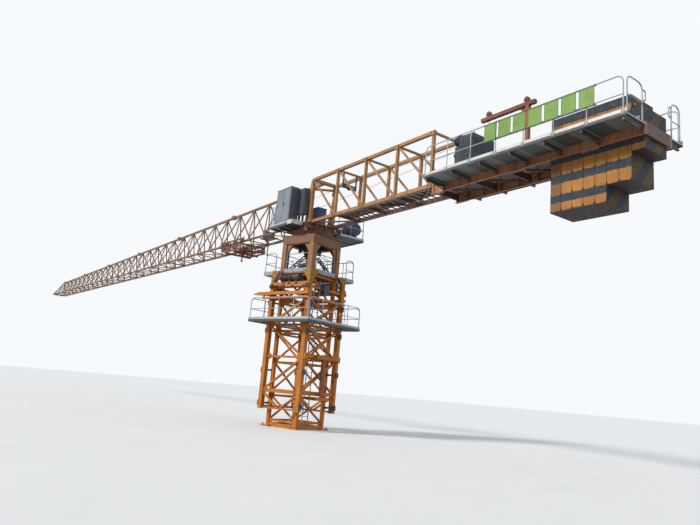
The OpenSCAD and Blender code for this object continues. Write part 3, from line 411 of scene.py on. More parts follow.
M = {
    "mast": painted("mast_orange", (212, 132, 30), (184, 106, 24)),
    "cage": painted("cage_orange", *ORANGE, rough=.48, streaks=.5),
    "truss": painted("truss_yellow", *TRUSS),
    "jib": painted("jib_yellow", (150, 112, 76), (118, 86, 58), (56, 44, 36), rough=.55, streaks=.6),
    # girders: inner halves, facing each other under the deck, darker: painted shade
    "girder": zoned("girder_brown", [
        (None, (196, 136, 98), (162, 108, 78)),
        (below_width(.335), (104, 74, 68), (80, 58, 56))], .5, .64, .6),
    "support": zoned("support_brown", [
        (None, (170, 120, 76), (138, 94, 60)), (above(2, 4.523), (138, 94, 64), (110, 74, 50))], under=.6),
    "gusset": painted("gusset_olive", (178, 132, 40), (140, 98, 30), streaks=.6),
    "table": painted("table_brown", (128, 82, 56), (100, 64, 46), rough=.55, rust_at=.62, streaks=.6),
    "red": painted("primer_brown", (132, 72, 48), (104, 54, 38), (52, 34, 26), rough=.6, rust_at=.62),
    "trolley": painted("trolley_brown", (144, 94, 80), (110, 70, 60), (58, 42, 36), rough=.58, rust_at=.62),
    "blue": painted("machine_blue", (50, 60, 76), (38, 46, 60), (80, 74, 66), (96, 60, 40), .45, .72),
    "drive": painted("drive_blue", (46, 56, 110), (36, 44, 80), (60, 58, 60), (80, 56, 44), .4, .74),
    "hoist": painted("hoist_brown", (84, 66, 66), (58, 46, 50), (40, 34, 34), rust_at=.64),
    "cabinet": painted("cabinet_grey", *CABINET, (88, 88, 86), (104, 76, 56), .42, .76, .3),
    "door": painted("cabinet_door", *DOOR, (58, 58, 58), (92, 70, 54), .42, .76, .3),
    "boxes": zoned("cabinet_paint", [
        (None, *CABINET), (both(below(0, -.055), below(1, .5545)), *DOOR),
        (above(0, .68), (122, 152, 136), (98, 124, 112))], .42, .76, .3),
    "seam": seam_dark(),
    "green": zoned("sign_green", [
        (None, (132, 172, 78), (112, 150, 66)),
        (either(below(2, 5.316), above(2, 5.609)), (84, 92, 92), (62, 68, 70))], .45, .78, .35),
    "zinc": galvanised("rail_zinc", (184, 190, 196), (146, 154, 162), (76, 86, 86)),
    "bright": galvanised("fascia_zinc", (226, 226, 224), (196, 200, 204), (110, 112, 116), .45, .78),
    "bolt": galvanised("bolt_zinc", (150, 148, 140), (110, 106, 98), (60, 52, 44), .4),
    "walk": walkway_metal("walkway_zinc", *WALK, outside(1, WALK_Y - .009), 5.111),
    "walk_far": walkway_metal("far_walkway_zinc", *WALK, outside(1, WALK_FAR_Y - .009), 5.111),
    "plat": walkway_metal("platform_zinc", *PLATFORM, outside_turned(LOWER_HALF - .009), LOWER_Z + .061),
    "access": walkway_metal("access_zinc", *PLATFORM,
                            either(below(0, -.351), above(0, .791), below(1, -1.371)), 5.001),
    "stand": walkway_metal("cabinet_platform_zinc", (188, 194, 198), (184, 190, 194), (78, 88, 86),
                           either(below(0, -.051), above(0, .821), above(1, .841)), 5.071),
    "grate": deck_metal("walk_grating", (172, 174, 178), (134, 136, 142), (66, 62, 64)),
    "slab": slab_paint(),
    "rope": rope_wire(),
    "rails_in": zoned("introduction_orange", [
        (None, *ORANGE), (both(beside_turned(.7205), above(2, 3.33)), (122, 104, 50), (84, 72, 44))], under=.6),
    "head": zoned("head_yellow", [(None, (184, 134, 78), (150, 106, 62))], under=.6),
    # counter-jib truss: lower bars on its inner side, under the deck, darker brown: painted shade; under adds
    # painted shade on what faces down
    "counter": zoned("counter_yellow", [
        (None, *TRUSS),
        (both(below(1, .29), above(1, -.3845), below(2, 5.135)), (104, 72, 56), (80, 56, 46))], .46, under=.6),
    "davit": zoned("davit_brown", [
        (None, (170, 104, 52), (140, 80, 42)), (above(2, 6.229), (134, 74, 50), (106, 56, 40))], .6, .62),
    "crosshead": zoned("crosshead_orange", [
        (None, *ORANGE), (both(near_axis(.034), above(2, .79)), (196, 198, 200), (160, 164, 168))], .4, under=.5),
    "cylinder": zoned("cylinder_paint", [(None, *ORANGE), (near_axis(.0655), (168, 100, 52), (138, 78, 42))], .45),
    "motors": zoned("motor_blue", [
        (None, (60, 66, 78), (46, 50, 60)), (both(above(2, 5.06), above(1, -.2)), (52, 64, 140), (42, 52, 104)),
        (below(1, -.9), (38, 46, 82), (30, 36, 62))], .4, .76),
}

NODE_LOOK = {
    "mast": "mast_base mast_section_1 mast_section_2",
    "crosshead": "climb_crosshead",
    "cage": "cage_side_left cage_side_right cage_rear cage_front",
    "rails_in": "introduction_rails",
    "support": "slewing_support",
    "table": "turntable ring_fixed ring_turning",
    "girder": "counter_girders",
    "head": "tower_head",
    "counter": "counter_truss",
    "jib": "jib_section_1 jib_section_2 jib_section_3 jib_section_4 jib_section_5 jib_section_6 jib_tip",
    "cylinder": "climb_cylinder",
    "davit": "service_davit",
    "trolley": "trolley hook_block",
    "blue": "cage_rollers sheave_frame hoist_winch trolley_winch lifting_hook",
    "motors": "slew_motors",
    "boxes": "control_cabinets",
    "green": "sign_panel",
    "walk": "walkway_left",
    "walk_far": "walkway_right",
    "stand": "cabinet_platform",
    "access": "access_platform",
    "zinc": "mast_ladder upper_platform",
    "plat": "lower_platform",
    "grate": "deck_gratings",
    "slab": "counterweights",
    "rope": "hoist_ropes",
}
for look, names in NODE_LOOK.items():
    for name in names.split():
        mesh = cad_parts[name].data
        mesh.materials.clear()
        mesh.materials.append(M[look])


# ---- mesh helpers

def link_new(name, data):
    made = bpy.data.objects.new(name, data)
    bpy.context.scene.collection.objects.link(made)
    return made


class Solid:
    """Boxes, bars, plates and rings joined into one mesh."""

    def __init__(self, place=None):
        self.points, self.faces = [], []
        self.place = place or Matrix.Identity(4)

    def add(self, points, faces):
        first = len(self.points)
        self.points += [self.place @ Vector(p) for p in points]
        self.faces += [[first + i for i in face] for face in faces]

    def box(self, a, b):
        spans = [(min(p, q), max(p, q)) for p, q in zip(a, b)]
        sides = [(0, 1, 3, 2), (4, 6, 7, 5), (0, 4, 5, 1), (2, 3, 7, 6), (0, 2, 6, 4), (1, 5, 7, 3)]
        self.add(product(*spans), sides)

    def rib(self, x, half, y0, y1, z0, z1):
        """A box that reaches half to either side of x."""
        self.box((x - half, y0, z0), (x + half, y1, z1))

    def bar(self, p, q, w, sides=4):
        """A straight bar of width w across its flats."""
        p, q = Vector(p), Vector(q)
        along = (q - p).normalized()
        side = along.cross(Vector(Z))
        if side.length < 1e-6:
            side = Vector(X)
        side.normalize()
        up = side.cross(along)
        r = w / 2 / cos(pi / sides)
        rings = [centre + side * r * c + up * r * s for centre in (p, q) for c, s in circle(sides, .5)]
        faces = [(k, (k + 1) % sides, sides + (k + 1) % sides, sides + k) for k in range(sides)]
        faces += [tuple(reversed(range(sides))), tuple(range(sides, 2 * sides))]
        self.add(rings, faces)

    def along(self, x0, x1, y, z, w, sides=4):
        self.bar((x0, y, z), (x1, y, z), w, sides)

    def across(self, x, y0, y1, z, w, sides=4):
        self.bar((x, y0, z), (x, y1, z), w, sides)

    def post(self, x, y, z0, z1, w, sides=4):
        self.bar((x, y, z0), (x, y, z1), w, sides)

    def run(self, points, w, sides=6):
        for p, q in zip(points, points[1:]):
            self.bar(p, q, w, sides)

    def plate(self, outline, normal, thick):
        n = Vector(normal).normalized() * thick / 2
        k = len(outline)
        faces = [tuple(reversed(range(k))), tuple(range(k, 2 * k))]
        faces += [(i, (i + 1) % k, k + (i + 1) % k, k + i) for i in range(k)]
        self.add([Vector(p) - n for p in outline] + [Vector(p) + n for p in outline], faces)

    def bolt(self, p, normal, w=.018, h=.012):
        p, n = Vector(p), Vector(normal).normalized()
        self.bar(p, p + n * h * .35, w * 1.5, 10)
        self.bar(p + n * h * .3, p + n * h * 1.1, w, 6)

    def ring(self, centre, axis, radius, w, steps=24, sides=8):
        """A torus round an axis, w thick."""
        axis, centre = Vector(axis).normalized(), Vector(centre)
        u = axis.orthogonal().normalized()
        v = axis.cross(u)
        points, faces = [], []
        for c, s in circle(steps):
            out = u * c + v * s
            points += [centre + out * (radius + w / 2 * cb) + axis * w / 2 * sb for cb, sb in circle(sides)]
        for i, k in product(range(steps), range(sides)):
            j, m = (i + 1) % steps, (k + 1) % sides
            faces.append((i * sides + k, i * sides + m, j * sides + m, j * sides + k))
        self.add(points, faces)

    def make(self, name, look, body="slewing_part", bevel=0.0):
        mesh = bpy.data.meshes.new(name)
        mesh.from_pydata([tuple(p) for p in self.points], [], self.faces)
        mesh.validate()
        mesh.update()
        piece = link_new(name, mesh)
        mesh.materials.append(M[look])
        if bevel:
            edge = piece.modifiers.new("edge", "BEVEL")
            edge.width, edge.segments, edge.limit_method = bevel, 2, "ANGLE"
        if body:
            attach(piece, body)
        return piece


def gusset(x, y, z, s, high, short, long, tip):
    """Outline of a plate that tapers from a leg at x into the bay."""
    edge = ((0, -high), (-short, -high), (-long, -tip), (-long, tip), (-short, high), (0, high))
    return [(x + s * dx, y, z + dz) for dx, dz in edge]


def taper(x, half0, half1, y0, y1, z0, z1):
    """Outline of a plate that is 2 half0 wide at y0, z0 and 2 half1 at y1, z1."""
    return [(x - half0, y0, z0), (x + half0, y0, z0), (x + half1, y1, z1), (x - half1, y1, z1)]


# ---- mast

leg = MAST_LEG / 2
collars = Solid(STANDING)
for z, (sx, sy), (lo, hi) in product(SECTION_JOINTS, CORNERS, ((-.085, -.006), (.006, .085))):
    x, y = sx * MAST_C, sy * MAST_C
    collars.box((x - leg + .004, y - leg - .011, z + lo), (x + leg - .004, y + leg + .011, z + hi))
collars.make("mast_collars", "mast", "mast")

bolts = Solid(STANDING)
for z, (sx, sy), dz, d in product(SECTION_JOINTS, CORNERS, pm(.05), pm(.02)):
    bolts.bolt((sx * MAST_C + d, sy * (MAST_C + .051), z + dz), (0, sy, 0), .016)
for (sx, sy), (hx, hy) in product(CORNERS, CORNERS):
    x, y = sx * MAST_C + hx * .09, sy * MAST_C + hy * .09
    bolts.post(x, y, .03, .075, .02, 12)
    bolts.bolt((x, y, .03), Z, .034, .022)
bolts.make("mast_bolts", "bolt", "mast")

levels = [.15, BASE_H - .06]
for z in SECTION_JOINTS:
    levels += [z + .04, z + SECTION_H / 2]
levels.append(BASE_H + SECTION_H - .04)
gussets = Solid()
for z, quarter, s in product(levels, QUARTERS, SIGNS):
    gussets.place = STANDING @ quarter
    gussets.plate(gusset(s * (MAST_C - .035), MAST_C, z, s, .075, .035, .11, .02), Y, .012)
gussets.make("mast_gussets", "mast", "mast")

# ---- climbing cage

# gussets in the sides, bolts of the lowest beams, end plates of the legs
fit = Solid(STANDING)
for z, sy, sx in product((1.675, LOWER_Z - .08, CAGE_TOP - .33, CAGE_TOP - .06), SIGNS, SIGNS):
    fit.plate(gusset(sx * (CAGE_C - .05), sy * CAGE_C, z, sx, .1, .04, .15, .03), Y, .014)
for sy, z, sx, k in product(SIGNS, (BASE_H + .03, BASE_H + .07), SIGNS, range(3)):
    fit.bolt((sx * (CAGE_C - .09 - .045 * k), sy * (CAGE_C + .035), z), (0, sy, 0), .018)
for (sx, sy), z in product(CORNERS, (CAGE_FOOT, CAGE_TOP)):
    x, y = sx * CAGE_C, sy * CAGE_C
    fit.rib(x, .064, y - .064, y + .064, z - .012, z + .004)
fit.make("cage_fittings", "cage", "climbing_cage")

# pins and bolts of the guide rollers and of the climbing cylinder's bracket
ROLLER_X = .5345
pins = Solid(STANDING)
for (sx, sy), z in product(CORNERS, (.54, 1.335, LOWER_Z - .235, CAGE_TOP - .45)):
    pins.across(sx * ROLLER_X, sy * (MAST_C - .055), sy * (MAST_C + .055), z, .022, 10)
    for dy, dz in product(pm(.035), pm(.042)):
        pins.bolt((sx * (CAGE_W / 2 + .034), sy * (CAGE_C + dy), z + dz), (sx, 0, 0), .016)
for y, z in product((-.26, -.18, .18, .26), (1.69, 1.75)):
    pins.bolt((-.815, y, z), (-1, 0, 0), .018)
pins.make("cage_pins", "bolt", "climbing_cage")

# travelling hoists on the two monorail beams, under the slewing support
HOIST_Y, HOIST_Z = .695, 3.61
hoist = Solid()
for s in SIGNS:
    hoist.place = STANDING @ at(0, s * HOIST_Y, HOIST_Z)
    hoist.along(-.34, .22, 0, 0, .16, 24)
    for x in (-.36, -.1, .22):
        hoist.along(x, x + .03, 0, 0, .21, 24)
    for k in range(8):
        hoist.ring((-.05 + .034 * k, 0, 0), X, .084, .012, 24, 6)
    for axis, radius in (((.5, s, 0), .085), ((.6, s, .1), .066)):
        hoist.ring((.43, 0, -.01), axis, radius, .022, 32, 8)
    for x, side in product((-.28, -.04, .14), pm(.032)):
        hoist.box((x, side - .004, -.17), (x + .06, side + .004, -.065))
        hoist.across(x + .03, side * .4, side * 1.3, -.088, .04, 16)
    hoist.box((.26, -.055, -.05), (.36, .055, .07))
hoist.make("monorail_hoists", "hoist", "climbing_cage", .004)

# slewing support: toe plates and guard rails, then ribs and bolts on its legs
toes, ribs = Solid(), Solid()
RAIL_Y, RAIL_TOP, FLOOR_Z = .5, 4.27, 3.876
for quarter in QUARTERS:
    toes.place = ribs.place = STANDING @ quarter
    toes.box((-.385, .531, 3.792), (.385, .537, 3.885))
    toes.box((-.385, .4, 3.871), (.385, .531, FLOOR_Z))
    rail = ((-.36, FLOOR_Z), (-.36, RAIL_TOP), (.36, RAIL_TOP), (.36, FLOOR_Z))
    toes.run([(x, RAIL_Y, z) for x, z in rail], .018, 8)
    toes.along(-.36, .36, RAIL_Y, 4.08, .014, 8)
    ribs.box((-.53, .528, 4.738), (.53, .536, 4.749))
    ribs.box((-.38, .528, 4.526), (.38, .538, 4.536))
    for x in pm(.46):
        ribs.rib(x, .066, .529, .533, 3.86, 4.73)
    for x, z, d in product(pm(.46), (3.775, 3.835), pm(.03)):
        ribs.bolt((x + d, .53, z), Y, .018)
toes.make("support_toe_rails", "zinc", "climbing_cage")
ribs.make("support_ribs", "support", "climbing_cage", .001)

# bracket plates at the cage's corners, where the support stands on it
corner = Solid(STANDING)
CAGE_FACE = CAGE_W / 2 + .001
BRACKET = ((.66, 3.52), (.66, 3.812), (.4, 3.812), (.4, 3.77), (.565, 3.6), (.565, 3.52))
for (sx, sy), on_y in product(CORNERS, (False, True)):
    normal = (0, sy, 0) if on_y else (sx, 0, 0)

    def on_face(off, u, z):
        return (sx * u, sy * off, z) if on_y else (sx * off, sy * u, z)

    corner.plate([on_face(CAGE_FACE, u, z) for u, z in BRACKET], normal, .014)
    for u, z in ((.62, 3.56), (.62, 3.66), (.62, 3.76), (.52, 3.76)):
        corner.bolt(on_face(CAGE_FACE + .007, u, z), normal, .02)
corner.make("support_corner_plates", "gusset", "climbing_cage")

# ladders, stairs and the pump unit inside the slewing support
ladder = Solid(STANDING)
for x in pm(.11):
    ladder.post(x, -.06, 3.868, 4.7, .022, 8)
for k in range(11):
    ladder.along(-.11, .11, -.06, 3.93 + .074 * k, .014, 8)
for y in (-.4, -.24):
    ladder.bar((-.38, y, 3.874), (.1, y, 4.37), .026, 6)
for k in range(1, 8):
    t = k / 8
    ladder.box((-.42 + .48 * t, -.4, 3.87 + .496 * t), (-.34 + .48 * t, -.24, 3.882 + .496 * t))
for y in (-.42, -.22):
    ladder.run([(-.4, y, 3.874), (-.4, y, 4.16), (-.04, y, 4.39)], .014, 6)
for x in (.26, .42):
    ladder.bar((x, .4, 3.874), (x - .12, -.1, 4.38), .026, 6)
for k in range(1, 7):
    t = k / 7
    y, z = .4 - .5 * t, 3.874 + .506 * t
    ladder.along(.26 - .12 * t, .42 - .12 * t, y, z, .02, 6)
PUMP_Y, PUMP_Z = .24, 3.99
ladder.box((-.2, .14, 3.871), (.16, .34, 3.9))
ladder.along(-.16, .08, PUMP_Y, PUMP_Z, .15, 24)
ladder.box((-.22, .17, 3.9), (-.16, .31, 4.06))
ladder.box((.08, .18, 3.9), (.14, .3, 4.04))
for k in range(7):
    ladder.ring((-.13 + .031 * k, PUMP_Y, PUMP_Z), X, .077, .01, 24, 6)
ladder.make("support_ladder_pump", "blue", "climbing_cage")

# ---- slewing ring, turntable and head

# bolts on the turning race, seal between the races and bolt heads round it
ring, seal = Solid(), Solid()
for c, s in circle(40, .5):
    ring.bolt((.515 * c, .515 * s, SUPPORT_TOP + RING_H + .02), Z, .022, .018)
ring.make("ring_bolts_top", "bolt")
seal.ring((0, 0, SUPPORT_TOP + .052), Z, RING_R + .001, .01, 96, 6)
for c, s in circle(72):
    seal.bar((.535 * c, .535 * s, 4.8), (.547 * c, .547 * s, 4.8), .016, 8)
seal.make("ring_seal", "seam")

# turntable: stiffeners round its box
webs = Solid()
for quarter in QUARTERS:
    webs.place = quarter
    for x in (-.47, -.29, 0.0, .29, .47):
        webs.rib(x, .006, .499, .53, 4.892, 5.03)
    webs.box((-.5, .499, 5.026), (.5, .528, 5.038))
webs.make("turntable_webs", "table", bevel=.001)

# tower head and counter-jib truss: node plates with bolts, flange strips, cheeks and pins at the joints
plates, fast = Solid(), Solid()


def node_plate(x, z, up, y, w, h):
    """A plate on the outer side of a truss node, with four bolts."""
    s = 1 if y > 0 else -1
    plates.plate(taper(x, w / 2, w * .36, y, y, z, z + up * h), Y, .01)
    for dx, dz in product(pm(.045), (.02, .065)):
        fast.bolt((x + dx, y + s * .005, z + up * dz), (0, s, 0), .014)


for s in SIGNS:
    for i in range(1, TRUSS_BAYS + 1):
        x = -HEAD_BACK - i * TRUSS_BAY
        node_plate(x, CHORD_Z - .01, 1, s * (CHORD_Y + .045), .16, .095)
        node_plate(x, TOP_Z + .01, -1, s * (CHORD_Y + .04), .14, .085)
        for z, dx in product((CHORD_Z, TOP_Z), pm(.05)):
            plates.rib(x + dx, .006, s * (CHORD_Y + .033), s * (CHORD_Y + .052), z - .034, z + .034)
    for x in (-HEAD_BACK - .075, JIB_ROOT_X - .02, TRUSS_END + .02):
        y = s * CHORD_Y
        for dy in (-.049, .041):
            plates.rib(x, .07, y + dy, y + dy + .008, CHORD_Z - .05, CHORD_Z + .05)
        for dx in pm(.035):
            fast.across(x + dx, y - .062, y + .062, CHORD_Z, .032, 16)
plates.make("truss_plates", "truss", bevel=.001)
fast.make("truss_bolts", "bolt")

# ---- counter-jib

# deck girders: web stiffeners, splice plates and their bolts, clips of the deck's cross members
stiff, clips = Solid(), Solid()
x = GIRDER_X0 - .3
while x > -COUNTER_L + .1:
    for s, (y0, y1) in product(SIGNS, ((.336, .368), (.296, .324))):
        stiff.rib(x, .004, s * y0, s * y1, 4.904, 5.066)
    x -= .42
for x, s in product((GIRDER_X0 - .11, -6.85, -8.2), SIGNS):
    stiff.rib(x, .16, s * .335, s * .345, 4.93, 5.04)
    stiff.rib(x, .16, s * .297, s * .369, 4.884, 4.891)
    for dx in (-.13, -.08, -.03, .03, .08, .13):
        for z in (4.955, 5.015):
            clips.bolt((x + dx, s * .345, z), (0, s, 0), .014)
        for y in (.312, .354):
            clips.bolt((x + dx, s * y, 4.884), (0, 0, -1), .014)
stiff.make("girder_plates", "girder")
rng = random.Random(7)
for x, x1 in ((GIRDER_X0 - .07, -5.79), (-5.83, -6.59), (-6.63, -7.37)):
    while x > x1:
        for y in (-.24, -.08, .08, .24):
            if rng.random() < .75:
                clips.rib(x, .014, y - .02, y + .02, CHORD_Z - .03, CHORD_Z - .021)
        x -= .13
clips.make("girder_bolts", "bright")

# wind bracing between the girders, cross bars in the truss floor
cross = Solid()
for x0, x1 in ((-5.0, -5.75), (-5.85, -6.55), (-6.65, -7.35)):
    cross.bar((x0, .335, 4.95), (x1, -.335, 4.95), .03)
    cross.bar((x0, -.335, 4.975), (x1, .335, 4.975), .024)
for k, j in product(range(1, TRUSS_BAYS), range(6)):
    cross.across(-HEAD_BACK - k * TRUSS_BAY - .09 - .18 * j, -.32, .32, CHORD_Z + .008, .018)
cross.make("deck_crossbars", "red")

# walkways: slanting outriggers, seams between the grating panels, post feet, end loops of the rails
AT_DECK = at(-COUNTER_L, 0, DECK_Z)
struts, feet, loop = Solid(AT_DECK), Solid(AT_DECK), Solid(AT_DECK)
for s, outer in ((1, WALK_Y), (-1, WALK_FAR_Y)):
    for i in range(7):
        x = .06 + i * (WALK_X0 + COUNTER_L - .12) / 6
        struts.bar((x, s * .372, -.135), (x, s * (outer - .06), -.058), .02)
        struts.rib(x, .022, s * (outer - .16), s * (outer - .018), -.094, -.086)
        struts.rib(x, .014, s * .371, s * .379, -.15, -.03)
    for i in range(26):
        x = .08 + i * .155
        struts.rib(x, .004, s * .4, s * (outer - .02), -.022, -.01)
    for i in range(8):
        x = .054 + i * (WALK_X0 + COUNTER_L - .074) / 7
        feet.rib(x, .03, s * (outer - .03), s * (outer + .003), -.012, .052)
        for dx, dz in product(pm(.021), (.008, .036)):
            feet.bolt((x + dx, s * (outer + .003), dz), (0, s, 0), .01, .008)
LOOP_Y = .33
for y0, s in ((.415, 1), (.4, -1)):
    way = ((y0, .5), (LOOP_Y + .02, .5), (LOOP_Y, .48), (LOOP_Y, .36), (LOOP_Y + .02, .34), (y0, .34))
    loop.run([(.02, s * y, z) for y, z in way], .017, 8)
loop.make("walkway_end_loops", "zinc")
struts.make("walkway_struts", "table")
feet.make("walkway_feet", "zinc")

# hoist winch: panels, louvres, rope guides, motor with its fins and box, gear block on its foot
AT_WINCH = at(GIRDER_X0 - .52)
MOTOR_Y, MOTOR_Z = .2, 5.9
panels, seams, motor = Solid(AT_WINCH), Solid(AT_WINCH), Solid(AT_WINCH)
for s, (x0, x1) in product(SIGNS, ((-.4, -.295), (-.287, -.19), (-.182, -.085))):
    for z0, z1 in ((5.14, 5.5), (5.51, 5.9)):
        panels.box((x0, s * .3, z0), (x1, s * .308, z1))
    for j in range(7):
        seams.box((x0 + .025, s * .308, 5.565 + .04 * j), (x1 - .025, s * .314, 5.577 + .04 * j))
    motor.bolt((x0 + .02, s * .308, 5.17), (0, s, 0), .012)
    motor.bolt((x1 - .02, s * .308, 5.47), (0, s, 0), .012)
for y0, y1 in ((-.285, -.1), (-.09, .09), (.1, .285)):
    panels.box((-.41, y0, 5.14), (-.418, y1, 5.9))
    panels.box((-.4, y0, 5.93), (-.08, y1, 5.942))
    for j in range(8):
        seams.box((-.418, y0 + .025, 5.56 + .04 * j), (-.424, y1 - .025, 5.572 + .04 * j))
panels.make("winch_panels", "blue", bevel=.003)
seams.make("winch_louvres", "seam")
for x, y in product((-.36, -.12), pm(.22)):
    motor.ring((x, y, 5.963), X, .022, .01, 20, 8)
for x0, x1, w in ((-.072, .06, .16), (.06, .09, .18)):
    motor.along(x0, x1, MOTOR_Y, MOTOR_Z, w, 32)
for c, s in circle(16):
    motor.along(-.05, .05, MOTOR_Y + .085 * c, MOTOR_Z + .085 * s, .01)
motor.box((-.04, .16, 5.98), (.04, .24, 6.01))
motor.box((-.072, .14, 5.13), (.05, .29, 5.74))
motor.along(.05, .09, .215, 5.6, .13, 28)
motor.along(.05, .07, .215, 5.42, .1, 28)
motor.box((-.05, .02, 5.092), (.09, .3, 5.13))
motor.make("winch_motor", "blue", bevel=.002)

# service davit: gussets at its foot and head, pins in its lugs, straps, shackle
LUG_Z = 6.355
FOOT = ((.035, 5.096), (.058, 5.096), (.035, 5.17))
davit = Solid(at(SLAB_X0 + .73))
for s in SIGNS:
    davit.plate([(s * d, 0, z) for d, z in FOOT], Y, .012)
    davit.plate([(0, s * d, z) for d, z in FOOT], X, .012)
davit.plate([(d, 0, z) for d, z in ((.035, 6.07), (.035, 6.232), (.2, 6.232))], Y, .016)
for lug in (.03, .91):
    davit.across(lug, -.04, .04, LUG_Z, .034, 16)
    for s in SIGNS:
        davit.across(lug, s * .025, s * .033, LUG_Z, .075, 24)
for d in (-.1, .2, .5, .8):
    davit.rib(d, .008, -.042, .042, 6.228, 6.302)
davit.ring((.91, 0, 6.205), Y, .026, .01, 24, 8)
davit.make("davit_fittings", "red", bevel=.001)

# row of blank plates: their rims, bolts and the clamps on the handrail
PLATE_X, PITCH = -COUNTER_L + .461, 2.12 / 7
PLATE_Y = WALK_Y - .008 + .0015 + .0002
PLATE_Z0, PLATE_Z1, RIM = 5.317, 5.608, .008
RAILS_Z = (5.308, 5.617)
rims, tie = Solid(), Solid()
for i in range(7):
    a, b = PLATE_X + (i + .09) * PITCH, PLATE_X + (i + .91) * PITCH
    for x0, x1, z0, z1 in ((a, b, PLATE_Z0, PLATE_Z0 + RIM), (a, b, PLATE_Z1 - RIM, PLATE_Z1),
                           (a, a + RIM, PLATE_Z0, PLATE_Z1), (b - RIM, b, PLATE_Z0, PLATE_Z1)):
        rims.box((x0, PLATE_Y + .0125, z0), (x1, PLATE_Y + .0165, z1))
    rims.box((a, PLATE_Y + .0125, 5.458), (b, PLATE_Y + .015, 5.466))
    for f, z in product((.2, .8), RAILS_Z):
        tie.bolt((PLATE_X + (i + f) * PITCH, PLATE_Y + .016, z), Y, .01, .006)
rims.make("sign_rims", "green")
for d, z in product((.02, .72, 1.41, 2.09), RAILS_Z):
    tie.ring((PLATE_X + d, WALK_Y - .016, z), Z, .013, .008, 16, 6)
tie.make("sign_bolts", "bolt")

# counterweight slabs: lifting bows, hanging hooks on the girders, tie bars with their nuts
TIE_Z, TIE_END = 5.45, SLAB_X0 - 7 * SLAB_T
bows = Solid()
for i in range(8):
    x = SLAB_X0 - (i + .5) * SLAB_T
    top = SLAB_TOP if i < 7 else SLAB_TOP - .25
    for y in pm(.2):
        bows.ring((x, y, top - .005), X, .036, .016, 12, 8)
    for s in SIGNS:
        bows.rib(x, .03, s * .309, s * .365, 5.075, 5.105)
        bows.rib(x, .03, s * .306, s * .314, 5.0, 5.22)
for s in SIGNS:
    bows.along(SLAB_X0 + .012, TIE_END - .012, s * .24, TIE_Z, .02, 8)
    bows.bolt((SLAB_X0 + .004, s * .24, TIE_Z), X, .034, .02)
    bows.bolt((TIE_END, s * .24, TIE_Z), (-1, 0, 0), .034, .02)
bows.make("slab_hooks", "bolt")

# sheave hung in the jib's root, where the hoist rope turns down
SHEAVE_X, SHEAVE_Z = .3, 5.831
turn = Solid()
turn.across(SHEAVE_X, .01, .03, SHEAVE_Z, .1, 32)
for y in (-.002, .042):
    turn.box((SHEAVE_X - .018, y - .004, 5.8), (SHEAVE_X + .018, y + .004, 6.2))
turn.across(SHEAVE_X, -.012, .052, SHEAVE_Z, .024, 12)
turn.make("head_sheave", "blue")

# ---- cabinets and platforms

# control cabinets: roofs, doors, louvres, hinges, handles, cable conduits, lifting eyes
AT_PLATFORM = at(z=PLAT_Z)
doors, dark, iron = Solid(AT_PLATFORM), Solid(AT_PLATFORM), Solid(AT_PLATFORM)
z0, z1 = .06, .95
doors.box((-.062, .548, z1), (.662, .832, z1 + .014))
doors.box((-.287, .392, .93), (-.052, .558, .942))
for a, b in ((-.035, .295), (.305, .635)):
    doors.box((a, .82, z0 + .02), (b, .827, z1 - .02))
    for z in (z0 + .12, z0 + .45, z0 + .78):
        iron.post(a + .006, .829, z - .025, z + .025, .012, 10)
    iron.box((b - .045, .827, z0 + .42), (b - .03, .845, z0 + .52))
doors.make("cabinet_doors", "cabinet", bevel=.003)
for y0, y1 in ((.572, .686), (.694, .808)):
    for a, b in ((z0 + .02, z0 + .3), (z0 + .31, z0 + .6), (z0 + .61, z1 - .02)):
        dark.box((-.05, y0, a), (-.057, y1, b))
    for j in range(6):
        dark.box((-.057, y0 + .015, z0 + .65 + .034 * j), (-.064, y1 - .015, z0 + .664 + .034 * j))
for y0, y1 in ((.41, .472), (.478, .54)):
    dark.box((-.275, y0, .28), (-.281, y1, .91))
    for j in range(14):
        dark.box((-.281, y0 + .008, .31 + .042 * j), (-.287, y1 - .008, .328 + .042 * j))
dark.box((-.265, .55, .28), (-.07, .556, .91))
for j in range(12):
    dark.box((-.25, .556, .32 + .046 * j), (-.085, .562, .338 + .046 * j))
dark.make("cabinet_louvres", "door", bevel=.0015)
for x in (-.2, -.12):
    iron.run([(x, .47, .261), (x, .47, .1), (x, .44, .03)], .022, 10)
for x, z in product((.7, .72), (.12, .44)):
    iron.bolt((x, .8, z), Y, .01, .006)
for x, y in product((.02, .58), (.6, .78)):
    iron.ring((x, y, z1 + .03), Y, .018, .008, 16, 6)
iron.make("cabinet_ironwork", "bolt")

# slats and rails of the cabinet platform, slats of the access platform
posts = Solid(AT_PLATFORM)
for x in (-.048, .39, .818):
    posts.post(x, .842, -.01, .07, .016, 8)
for k in range(11):
    posts.box((-.04 + .08 * k, .51, -.028), (-.034 + .08 * k, .84, -.014))
posts.box((-.28, .505, -.014), (-.061, .846, -.002))
posts.box((-.28, .395, .026), (-.061, .52, .036))
for k in range(4):
    posts.box((-.25 + .055 * k, .51, -.04), (-.242 + .055 * k, .84, -.014))
hoop = ((.7, 0), (.82, 0), (.82, .54), (.75, .54), (.75, 0))
posts.run([(x, .83, z) for x, z in hoop], .018, 8)
posts.along(.75, .82, .83, .27, .014, 8)
for k in range(14):
    posts.box((-.34 + .085 * k, -1.37, -.088), (-.334 + .085 * k, -.51, -.074))
posts.make("platform_slats", "zinc")
toe = Solid(AT_PLATFORM)
toe.box((-.288, .502, -.058), (-.28, .85, .05))
toe.box((-.288, .842, -.058), (-.061, .85, .05))
toe.box((-.288, .392, .024), (-.28, .502, .072))
toe.make("platform_toe", "bright")

